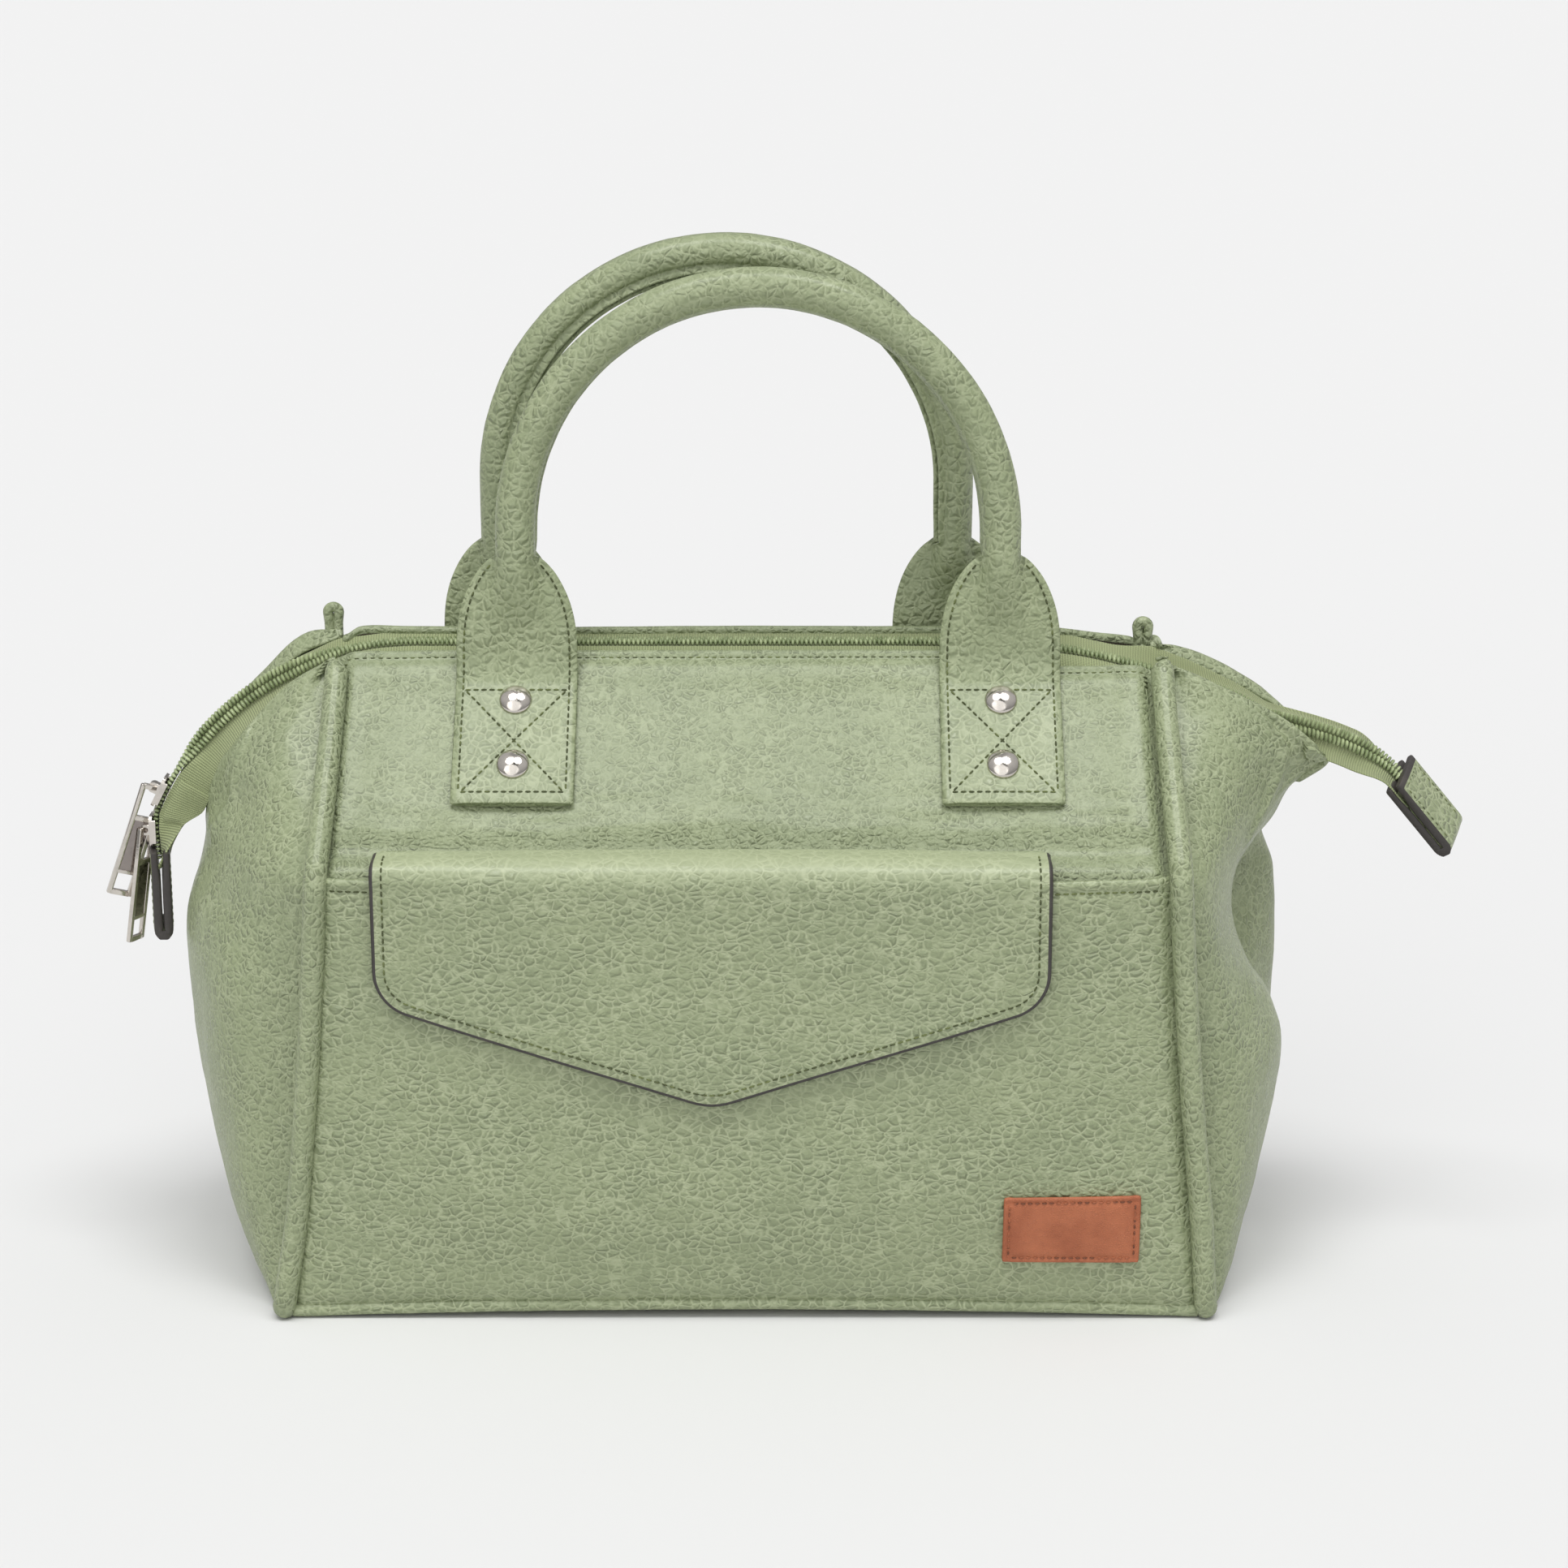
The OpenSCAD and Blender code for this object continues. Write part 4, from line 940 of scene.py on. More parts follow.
def piping_loop(end, tall):
    """Rings of the rear piping's end, folded over into a small loop above the lip."""
    turn = np.linspace(math.pi, 0, 9)
    top = [(-1.8 * math.cos(a), tall - 1.8 + 1.8 * math.sin(a)) for a in turn[::-1]]
    line = [(1.5, 205), (1.4, tall - 6)] + top[::-1] + [(-1.4, tall - 6), (-1.5, 205)]
    line = np.array(line)
    middle = end * 137.6 if end < 0 else 132.6
    path = np.stack([middle + line[:, 0], np.full(len(line), 13.5), line[:, 1]], 1)
    return covered_cord(through(path, 90), [0, 1, 0], LOOP_R, True, True, 0.45)


def side_pipings():
    for side, half in ((-1, "front"), (1, "rear")):
        for end, place in ((-1, "left"), (1, "right")):
            obj = loft("%s piping %s" % (half, place), side_piping(end, side), [FINE_LEATHER])
            follow_frame(obj)
            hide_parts("side_pipings_" + half)
            if side > 0:
                tall = 220.4 if end < 0 else 215.4
                knob = loft("piping loop " + place, piping_loop(end, tall), [FINE_LEATHER])
                follow_frame(knob)


def bottom_pipings():
    x = np.linspace(-149.5, 149.5, 100)
    for side, half in ((-1, "front"), (1, "rear")):
        z = 2.3 + ARCH * (1 - (x / EDGE_BOTTOM) ** 2)
        y = np.full_like(x, side * 66.0)
        rings = covered_cord(np.stack([x, y, z], 1), [0, 0, 1], BOTTOM_PIPING_R, True, True)
        obj = loft("bottom piping " + half, rings, [LEATHER])
        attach(obj, "shell")
        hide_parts("bottom_pipings")


# Middle line of each gusset, as (across, up), from the foot to the tip of the wings
LEFT_MIDDLE = [(151, 0.4), (158, 2.2), (164.5, 6.5), (171, 15), (178, 33), (183, 58), (186, 84), (187.3, 106)]
RIGHT_MIDDLE = [(151, 0.4), (158, 2.2), (163.5, 6.5), (168, 15), (174, 33), (178.5, 58)]
# Higher rows: height at the piping, then quarter, ridge and middle points as (across, out, up), and
# how smoothly front and rear meet there
LEFT_ROWS = [
    (124, (163.5, 50, 124), (182, 25, 124), (187.2, 0, 124), 1),
    (136, (160, 49, 136), (179.5, 22, 135), (183.8, 0, 135.5), 0.8),
    (146, (158, 47, 147), (177.5, 17, 144.5), (181.4, 0, 145.5), 0.5),
    (152, (156.5, 43, 154), (175.6, 17, 152.5), (181, 0.6, 153.2), 0),
    (163, (154.6, 37, 164), (169.4, 18.6, 161.5), (178.6, 3.5, 162.5), 0),
    (175, (153, 31, 175.5), (167.2, 18.2, 172), (173.8, 6, 173), 0),
    (184, (152, 24.5, 184), (164.6, 15.4, 181), (169.8, 8, 178), 0),
    (191, (150, 18.5, 190.5), (161.5, 11, 187), (164.2, 8.2, 185), 0),
    (201, (143.5, 12.5, 201), (148.5, 9.8, 200), (150.6, 8.2, 199), 0),
    (207, (136.9, 9, 207.6), (135.9, 8.6, 208), (134.9, 8.3, 208.2), 0),
]
LEFT_REAR_ROWS = [
    (124, (163.5, 50, 124), (182, 25, 124), (187.2, 0, 124), 1),
    (136, (160.5, 49, 136), (180, 22, 135), (183.8, 0, 135.5), 0.8),
    (146, (159, 47, 147), (178, 17, 144.5), (181.4, 0, 145.5), 0.5),
    (152, (157.5, 43, 154), (176.5, 14, 152.5), (181, 0.6, 153.2), 0),
    (163, (156, 37, 166), (173, 16, 164), (178.6, 3.5, 162.8), 0),
    (175, (155, 31, 180), (171.6, 17, 177), (173.6, 6, 174.4), 0),
    (184, (154.5, 26, 191), (169, 16, 189), (169.8, 8, 182.5), 0),
    (191, (152, 21, 199), (162.5, 15, 198), (164.2, 8.2, 191.5), 0),
    (201, (144.5, 15, 209.5), (150, 12.5, 210), (151, 8.2, 205), 0),
    (207, (136.9, 10, 212.4), (135.9, 9.8, 213.6), (134.9, 8.3, 212), 0),
]
RIGHT_ROWS = [
    (80, (163, 53, 80), (178, 27, 80), (178.5, 0, 80), 1),
    (97, (160, 52.5, 97), (173.5, 27, 97), (171, 0, 97), 0.6),
    (112, (155.6, 52, 112), (166, 26, 111), (161, 0, 112), 0.1),
    (124, (152.3, 52, 124), (160.4, 25, 124), (155, 0, 124), 0),
    (134, (151.4, 51.5, 135), (160, 25, 135), (157, 0, 134), 0),
    (144, (151.8, 49, 146), (163, 23.5, 145), (169, 0, 143), 0),
    (152, (152.8, 43.5, 154.5), (167.2, 19, 153), (176, 0.4, 151), 0),
    (161, (154.8, 36, 163), (172.6, 13, 160.5), (182, 1.2, 163), 0),
    (171, (157, 29, 172), (176.5, 9.8, 169.5), (193, 1.5, 171.5), 0),
    (181, (157.3, 23.2, 181.5), (177.6, 9.8, 178.5), (189, 7, 177), 0),
    (190, (155, 18.8, 190), (170, 10, 188), (178.8, 8.2, 186), 0),
    (199, (149.5, 14, 198.5), (158.5, 9.8, 197), (164.6, 8.2, 194.4), 0),
    (205, (142.8, 10.6, 204.5), (145.2, 9.2, 203.6), (146.2, 8.3, 202.6), 0),
    (207, (136.9, 9, 206), (135.9, 8.6, 206.4), (134.9, 8.3, 206), 0),
]
RIGHT_REAR_ROWS = [
    (80, (165, 53, 80), (181, 28, 80), (178.5, 0, 80), 1),
    (97, (163, 53, 97), (182.6, 27, 96.6), (171, 0, 97), 0.6),
    (112, (161, 53, 112), (182, 26, 112), (161, 0, 112), 0.1),
    (124, (159, 52.5, 124), (180.6, 25, 127), (155, 0, 124), 0),
    (134, (157.5, 51, 135), (178.2, 25, 135.5), (157, 0, 134), 0),
    (144, (156.5, 48, 146), (174.6, 24, 146), (169, 0, 143), 0),
    (152, (155.8, 43.5, 156), (171.8, 21, 155), (176, 0.4, 151), 0),
    (161, (156, 37, 166), (173.6, 15, 164), (182, 1.2, 163), 0),
    (171, (158, 31, 177), (177, 13.5, 174.5), (193, 1.5, 172.5), 0),
    (181, (160, 25.5, 187), (178.5, 14, 184), (188, 7, 178.6), 0),
    (190, (157.5, 20.5, 196.5), (171.5, 13.5, 193.6), (178.8, 8.2, 187.8), 0),
    (199, (150.5, 15.5, 203), (159.5, 12, 201), (164.6, 8.2, 196), 0),
    (205, (143.2, 11.5, 207.4), (146, 10, 206.6), (146.6, 8.3, 204), 0),
    (207, (136.9, 9, 208.6), (135.9, 8.6, 209), (134.9, 8.3, 208.6), 0),
]


def seam_point(z):
    """Where the gusset leaves the side piping."""
    out = WALL_Y - 4.6 if z < BREAK_Z else roof_y(z) - 5.2
    return [edge_x(z) + 2.4, out, z if z < BREAK_Z else z - 2.4]


def gusset_guides(middle, rows):
    """Rows of guide points: before the seam, seam, quarter, ridge, middle and beyond the middle."""
    guides = []
    for x, z in middle:
        seam = np.array(seam_point(z))
        points = [seam]
        for a in (0.36, 0.72, 1.0):
            across = mix(seam[0], x, math.sin(math.pi / 2 * a))
            points.append(np.array([across, seam[1] * math.cos(math.pi / 2 * a), z]))
        guides.append((points, 1.0))
    for seam_z, quarter, ridge, end, join in rows:
        points = [np.array(p, float) for p in (seam_point(seam_z), quarter, ridge, end)]
        guides.append((points, join))
    out = []
    for points, join in guides:
        seam, quarter, ridge, end = points
        before = seam - [16, 0, 0] + [0, 6, 0]
        beyond = mix(2 * end - ridge, ridge * [1, -1, 1], join)
        out.append([before, seam, quarter, ridge, end, beyond])
    return np.array(out)


def spline(rows, t):
    """Smooth values between the rows at positions t, row by row."""
    k = np.concatenate([2 * rows[:1] - rows[1:2], rows, 2 * rows[-1:] - rows[-2:-1]])
    i = np.clip(np.floor(t).astype(int), 0, len(rows) - 2)
    f = (t - i).reshape((-1,) + (1,) * (rows.ndim - 1))
    return catmull(k[i], k[i + 1], k[i + 2], k[i + 3], f)


def gusset_half(end, side, middle, rows):
    """Front or rear half of a gusset with its wing."""
    guides = gusset_guides(middle, rows)
    up = spline(guides, np.linspace(0, len(guides) - 1, 6 * len(guides)))
    t = np.linspace(0, 3, 61)
    i = np.clip(np.floor(t).astype(int), 0, 2)
    f = (t - i)[None, :, None]
    grid = catmull(*(up[:, i + k] for k in range(4)), f)
    grid[..., 2] = np.maximum(grid[..., 2], 0.3)
    out = normals(grid)
    centre = np.array([120.0, 0.0, 110.0])
    out = out * np.sign(np.sum(out * (grid - centre), axis=-1, keepdims=True))
    where = grid * [end, side, 1]
    free = smooth(t / 0.5)[None, :] * smooth((3.15 - t) / 0.4)[None, :]
    puff = 0.9 * relief(where, 24.0, 9) + 0.3 * relief(where, 8.0, 4)
    high = smooth((grid[..., 2] - 144) / 10) * (1 - smooth((grid[..., 2] - 186) / 8))
    pinch = high * (1.2 * bump_at(t - 2, 0.1) - 0.5 * bump_at(t - 2.3, 0.16))[None, :]
    grid = grid + out * (puff * free + pinch)[..., None]
    inner = grid - out * 1.6
    grid = grid * [end, side, 1]
    inner = inner * [end, side, 1]
    name = "gusset %s %s" % ("left" if end < 0 else "right", half_of(side))
    obj = padded_sheet(name, grid, inner, [FINE_LEATHER, LINED])
    for face in obj.data.polygons:
        if face.center.z > 0.15:
            face.material_index = 0
    follow_frame(obj)
    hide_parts("gusset_left" if end < 0 else "gusset_right")


def gussets():
    gusset_half(-1, -1, LEFT_MIDDLE, LEFT_ROWS)
    gusset_half(-1, 1, LEFT_MIDDLE, LEFT_REAR_ROWS)
    gusset_half(1, -1, RIGHT_MIDDLE, RIGHT_ROWS)
    gusset_half(1, 1, RIGHT_MIDDLE, RIGHT_REAR_ROWS)


def bend_at(turn):
    """Point of the zip's curve on the right side at a turn in degrees from the top."""
    a = math.radians(turn)
    return np.array([BEND_X + BEND_R * math.sin(a), BEND_Z + BEND_R * math.cos(a)])


def zip_line():
    """Middle line of the zip as (across, up), from the end of the left tail to that of the right."""
    left = [bend_at(LEFT_TURN * k / 24) for k in range(25)]
    down = bend_at(LEFT_TURN)[0]
    left += [np.array([down + 0.4, 149]), np.array([down + 0.2, 143]), np.array([down, 136.3])]
    a = bend_at(RIGHT_TURN)
    turn = math.radians(RIGHT_TURN)
    fall = math.radians(50)
    b = np.array([218, 166.5])
    c1 = a + np.array([math.cos(turn), -math.sin(turn)]) * 7.5
    c2 = b - np.array([math.cos(fall), -math.sin(fall)]) * 18
    right = [bend_at(RIGHT_TURN * k / 14) for k in range(15)]
    for t in np.linspace(0, 1, 14)[1:]:
        right.append(a * (1 - t) ** 3 + 3 * c1 * t * (1 - t) ** 2 + 3 * c2 * t * t * (1 - t) + b * t ** 3)
    right.append(b + 8 * np.array([math.cos(fall), -math.sin(fall)]))
    line = np.array([p * [-1, 1] for p in left[::-1]] + right)
    line = resample(line, 1200)
    line[:, 1] -= 6.0 * bump_at(line[:, 0] - 136, 34)
    return resample(line, 1200)


def zip_frames():
    """Points, directions along, out and across of the zip, and the distance along it."""
    line = zip_line()
    s = along(line)
    point = np.stack([line[:, 0], 0 * s, line[:, 1]], 1)
    t = tangents(point)
    for _ in range(30):
        t[1:-1] = (t[:-2] + 2 * t[1:-1] + t[2:]) / 4
    t = unit(t)
    up = np.stack([-t[:, 2], 0 * s, t[:, 0]], 1)
    x = line[:, 0]
    left_turn = np.degrees(np.arctan2(-x - BEND_X, line[:, 1] - BEND_Z))
    roll_left = smooth((left_turn - 12) / 16) * (1 - smooth((left_turn - 47) / 12)) * (x < -BEND_X)
    roll_right = smooth((x - 138) / 36) * mix(1.0, 0.48, smooth((x - 203) / 14))
    roll = np.radians(57) * (roll_left + roll_right)[:, None]
    across = np.array([[0, 1.0, 0]])
    out = up * np.cos(roll) - across * np.sin(roll)
    side = across * np.cos(roll) + up * np.sin(roll)
    return point, t, out, side, s


ZIP_POINT, ZIP_ALONG, ZIP_OUT, ZIP_SIDE, ZIP_S = zip_frames()


def on_zip(s, table):
    return np.stack([np.interp(s, ZIP_S, table[:, k]) for k in range(3)], -1)


def zip_teeth(side):
    """One row of moulded loops, a little slanted."""
    pitch = 1.5
    s = np.arange(1.5 + (pitch / 2 if side > 0 else 0), ZIP_S[-1] - 1, pitch)
    point, t, out, across = (on_zip(s, table) for table in (ZIP_POINT, ZIP_ALONG, ZIP_OUT, ZIP_SIDE))
    near = point + across * side * 0.15 - t * 0.2
    far = point + across * side * 3.15 + t * 0.2
    points, faces = bars(near, far, out, 1.15, 1.9, 0.3, 8)
    return points, faces


# Place of the tape's outer edge beside the wings: distance marks are turns of the zip's curve,
# places are (across, out, up)
LEFT_TAPE = [
    (15.6, (134.5, 8.0, 206.3)), (26.7, (150, 7.6, 197.4)), (38.7, (163.2, 7.6, 184.2)),
    (44.4, (168.8, 7.4, 177.4)), (48.5, (172.6, 5.6, 172.2)), (56.1, (177.6, 3.0, 162)),
    (62.6, (181.4, 1.4, 153.4)),
]
# How much higher the rear edge lies at the same marks
LEFT_REAR_RISE = [4.8, 6.8, 6.2, 4.2, 1.5, 0.3, 0]
RIGHT_REAR_RISE = [2.0, 3.6, 5.4]
LEFT_TAIL_TAPE = [(150.5, (188.2, 3.4, 149.6)), (146, (191.3, 5.6, 145.6)), (140.5, (194.6, 8.0, 140)),
                  (136.6, (196.6, 9.0, 136))]
RIGHT_TAPE = [(15.6, (134.5, 8.0, 206.2)), (24, (147, 7.8, 200)), (35.6, (163, 7.6, 190.6))]


def tape_edges(side):
    """Outer edge of the tape for every point of the zip."""
    marks = []
    x = ZIP_POINT[:, 0]
    for z, place in LEFT_TAIL_TAPE[::-1]:
        marks.append((np.interp(-z, -ZIP_POINT[:150, 2][::-1], ZIP_S[:150][::-1]), place, -1))
    for (turn, place), rise in list(zip(LEFT_TAPE, LEFT_REAR_RISE))[::-1]:
        raised = (place[0], place[1], place[2] + (rise if side > 0 else 0))
        marks.append((np.interp(-bend_at(turn)[0], x[:600], ZIP_S[:600]), raised, -1))
    for (turn, place), rise in zip(RIGHT_TAPE, RIGHT_REAR_RISE):
        raised = (place[0], place[1], place[2] + (rise if side > 0 else -4))
        marks.append((np.interp(bend_at(turn)[0], x[600:], ZIP_S[600:]), raised, 1))
    marks.append((np.interp(176.0, x[600:], ZIP_S[600:]), (174.5, 7.6, 189 if side > 0 else 180), 1))
    s = np.array([m[0] for m in marks])
    places = np.array([[m[2] * m[1][0], side * m[1][1], m[1][2]] for m in marks])
    order = np.argsort(s)
    s, places = s[order], places[order]
    guided = np.stack([np.interp(ZIP_S, s, places[:, k]) for k in range(3)], 1)
    for _ in range(40):
        guided[1:-1] = (guided[:-2] + 2 * guided[1:-1] + guided[2:]) / 4
    flat = ZIP_POINT + (ZIP_SIDE * 6.0 - ZIP_OUT * 3.4 if side > 0 else -ZIP_SIDE * 8.8 - ZIP_OUT * 0.5)
    slid = smooth((x - 76) / 26)[:, None]
    if side > 0:
        under_lip = np.stack([x, 9.2 + 0 * x, 212.6 - 0.73 * lip_drop(x, 1)], 1)
    else:
        under_lip = ZIP_POINT + np.array([0, -10.5, -8.2]) + slid * [0, -6, -6.5]
    on_top = 1 - smooth((np.abs(x) - 118) / 17)
    tail = smooth((x - 172) / 16)
    edge = mix(guided, under_lip, on_top[:, None])
    return mix(edge, flat, tail[:, None])


def zip_half(side):
    """Teeth and tape of one half of the zip."""
    half = half_of(side)
    points, faces = zip_teeth(side)
    teeth = piece("zip teeth " + half, points, faces, [TEETH])
    pick = np.linspace(0, len(ZIP_S) - 1, 300).astype(int)
    inner_edge = (ZIP_POINT + ZIP_SIDE * side * 0.12 - ZIP_OUT * 1.1)[pick]
    beside = (ZIP_POINT + ZIP_SIDE * side * 3.3 - ZIP_OUT * 1.1)[pick]
    outer_edge = tape_edges(side)[pick]
    x = ZIP_POINT[pick, 0]
    cols = [inner_edge, beside]
    top = (1 - smooth((np.abs(x) - 118) / 17))[:, None]
    for k in range(1, 6):
        share = k / 5
        sag = ZIP_OUT[pick] * math.sin(math.pi * share) * (-0.7 + 0.3 * top)
        cols.append(mix(beside, outer_edge, share) + sag)
    grid = np.stack(cols, 1)
    out = normals(grid)
    out = out * np.sign(np.sum(out * ZIP_OUT[pick][:, None], axis=-1, keepdims=True))
    grid = grid + out * (0.12 * relief(grid, 7.0, side))[..., None]
    widths = np.concatenate([[0], np.cumsum(np.linalg.norm(np.diff(grid, axis=1), axis=2).mean(axis=0))])
    uv = np.stack(np.broadcast_arrays(ZIP_S[pick][:, None], widths[None, :]), -1)
    tape = padded_sheet("zip tape " + half, grid, grid - out * 0.7, [TAPE], 0, uv)
    for obj in (teeth, tape):
        follow_frame(obj)
        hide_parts("zip_half_" + half)


def tab(name, origin, fall, roll, node):
    """Leather folded round the end of the tape, with dark painted edges."""
    length, thick, width = 30.0, 6.2, 20.0
    layer = 2.3
    r = thick / 2
    outline = [(0, r - 0.3), (0.5, r)]
    outline += [(x, r) for x in np.linspace(2, length - r, 9)]
    outline += [(length - r + r * math.sin(a), r * math.cos(a)) for a in np.linspace(0.35, math.pi - 0.35, 9)]
    outline += [(x, -r) for x in np.linspace(length - r, 2, 9)] + [(0.5, -r), (0, -r + 0.3)]
    inside = r - layer
    gap = [(x, mix(inside, 0.16, smooth((x - 3) / 9))) for x in np.linspace(3, length - r, 11)]
    outline += [(0, -inside - 0.3), (0.5, -inside)] + [(x, -half) for x, half in gap]
    outline += [(x, half) for x, half in gap[::-1]] + [(0.5, inside), (0, inside + 0.3)]
    outline = np.array(outline)
    middle = np.stack([outline[:, 0], np.sign(outline[:, 1]) * (r - layer / 2)], 1)
    a = math.radians(fall)
    way = np.array([math.cos(a), 0, -math.sin(a)])
    up = np.array([math.sin(a), 0, math.cos(a)])
    out = up * math.cos(roll) - np.array([0, 1.0, 0]) * math.sin(roll)
    across = np.array([0, 1.0, 0]) * math.cos(roll) + up * math.sin(roll)
    shares = [(-1, 0.55), (-0.985, 0.85), (-0.95, 1)] + [(s, 1) for s in np.linspace(-0.85, 0.85, 9)]
    shares += [(0.95, 1), (0.985, 0.85), (1, 0.55)]
    rings = []
    for share, full in shares:
        ring = mix(middle, outline, full)
        bend = 0.25 * math.cos(share * math.pi / 2)
        rings.append(origin + ring[:, :1] * way + (ring[:, 1:] + bend * np.sign(ring[:, 1:])) * out
                     + across * share * width / 2)
    count = len(shares)

    def finish_of(i, j):
        edge = i < 2 or i > count - 4
        mouth = outline[j][0] < 0.6
        return 1 if edge or mouth else 0

    obj = loft(name, rings, [LEATHER, PAINTED], finish_of, None, 50)
    polygons = obj.data.polygons
    polygons[len(polygons) - 1].material_index = 1
    polygons[len(polygons) - 2].material_index = 1
    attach(obj, "shell")
    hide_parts(node)
    rows = []
    for face in (1, -1):
        normal = out * face
        for edge in (-1, 1):
            x = np.linspace(3, length - 4, 20)[:, None]
            path = origin + x * way + normal * (r - 0.12) + across * edge * (width / 2 - 2.4)
            rows.append(stitch_row(path, np.tile(normal, (20, 1)), 2.4, 1.7))
        y = np.linspace(-width / 2 + 3, width / 2 - 3, 12)[:, None]
        path = origin + 3.0 * way + normal * (r - 0.12) + across * y
        rows.append(stitch_row(path, np.tile(normal, (12, 1)), 2.4, 1.7))
    sewn = sewing(name + " stitches", rows)
    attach(sewn, "shell")


def rounded_bar(start, end, across, width, thick):
    """Points and faces of a bar with rounded edges and softened ends."""
    start, end = np.asarray(start, float), np.asarray(end, float)
    way = unit(end - start)
    across = unit(np.asarray(across, float) - way * np.dot(across, way))
    up = np.cross(way, across)
    length = np.linalg.norm(end - start)
    a = np.linspace(0, 2 * math.pi, 20, endpoint=False) + math.pi / 20
    x = power_curve(np.cos(a), 0.35) * width / 2
    y = power_curve(np.sin(a), 0.35) * thick / 2
    rings = []
    ends = [(0, 0.7), (0.12, 0.9), (0.35, 1)]
    for place, full in ends + [(length - place, full) for place, full in ends[::-1]]:
        shrink = (1 - full) * min(width, thick) / 2
        gx = x * (1 - 2 * shrink / width)
        gy = y * (1 - 2 * shrink / thick)
        rings.append(start + way * place + gx[:, None] * across + gy[:, None] * up)
    points = np.vstack(rings)
    faces = quads(6, 20, 0, True) + [tuple(range(20)), tuple(range(100, 120))]
    return points, faces


def join_parts(parts):
    """One list of points and faces from several."""
    points, faces, start = [], [], 0
    for p, f in parts:
        points.append(p)
        faces += [tuple(v + start for v in face) for face in f]
        start += len(p)
    return np.vstack(points), faces


def pull(name, pivot, lean, twist, shift, body):
    """Pull with an open bail, a polished middle plate and a lower window."""
    w, arm, t = 8.6, 1.7, 1.6
    side_x = (w - arm) / 2
    x, _, z = np.eye(3)
    frame_parts = []
    for s in (-1, 1):
        frame_parts.append(rounded_bar([s * side_x, 0, 0.6], [s * side_x, 0, -39.6], x, arm, t))
    for top, tall in ((0.0, 1.8), (-11.6, 1.8), (-31.2, 1.4), (-38.8, 1.9)):
        frame_parts.append(rounded_bar([-side_x, 0, top], [side_x, 0, top], z, tall, t))
    plate = rounded_bar([0, 0, -11.4], [0, 0, -31.2], x, w - 1.6 * arm, t * 0.72)
    a, b = math.radians(lean), math.radians(twist)
    turn = Matrix.Rotation(a, 3, "Y") @ Matrix.Rotation(b, 3, "Z")
    turn = np.array(turn)
    for label, part, finish in (("", join_parts(frame_parts), SHINY), (" plate", plate, DARK_NICKEL)):
        points = part[0] @ turn.T + np.array([pivot[0], shift, pivot[1]])
        obj = piece(name + label, points, part[1], [finish], None, None, 40)
        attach(obj, body)
        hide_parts(body)


def pulls():
    pull("zip pull 1", (-197.833, 161.952), 20.0, 24.0, -1.2, "pull_1")
    pull("zip pull 2", (-201.213, 147.2), 8.4, 66.0, 0.8, "pull_2")


def zip_tabs():
    end = bend_at(LEFT_TURN)[0]
    tab("zip tab left", np.array([-end, 0, 141.3]), 90, math.radians(-11), "zip_tab_left")
    tab("zip tab right", np.array([218.0, 0, 166.5]), 50, math.radians(27.5), "zip_tab_right")


FOLD_RUN = 11.0
FOLD_LIFT = 2.8
FLARE_H = 37.0
STRAP_W = 39.4
STRAP_T = 2.8
TUBE_R = 6.6
LEAN = math.radians(3.6)
STRAP_END_RUN = 61.0
# Stations along the sewn strap, its rivets and its stitched box, as distances down the roof from the lip
STRAP_RUNS = np.linspace(STRAP_END_RUN - 0.6, 18.5, 24)
RIVET_RUNS = (23.3, 47.0)
BOX_RUNS = (57.0, 19.5)
SEAM_TURN = math.radians(-38)


def handle_angles(count=72):
    """Angles round the roll, closest together at its seam."""
    t = np.linspace(0, 1, count, endpoint=False)
    return SEAM_TURN + 2 * math.pi * t - 0.8 * np.sin(2 * math.pi * t)


def strap_profile(height):
    """Half width, tube bulge, its half width and its growth at a height above the fold."""
    h = np.clip((height - 5) / (FLARE_H - 5), 0, 1)
    w = 6.3 + (STRAP_W / 2 - 6.3) * (1 - h ** 2.3) ** 0.72
    rise = smooth((height - 7) / 27)
    bulge = TUBE_R * rise ** 0.9
    return w, bulge, mix(TUBE_R + 5.0, TUBE_R, rise), rise


def depth_at(x, w, bulge, tube_w, rise, back, flat_t):
    """How far the strap or tube stands out of its middle plane at x."""
    flange = flat_t / 2 * np.sqrt(np.maximum(1 - np.abs(x / w) ** 7, 0))
    share = mix(0.5, 1.0, rise ** 2) if back else 1.0
    round_part = bulge * share * np.sqrt(np.maximum(1 - (x / tube_w) ** 2, 0))
    return (flange ** 3 + round_part ** 3) ** (1 / 3)


def face_depth(x, h, back=False):
    """Depth of the strap's front or back at x, at a height above the fold."""
    w, bulge, tube_w, grown = strap_profile(h)
    return depth_at(x, w, bulge, tube_w, grown, back, mix(STRAP_T, 1.6, smooth((h - 10) / 20)))


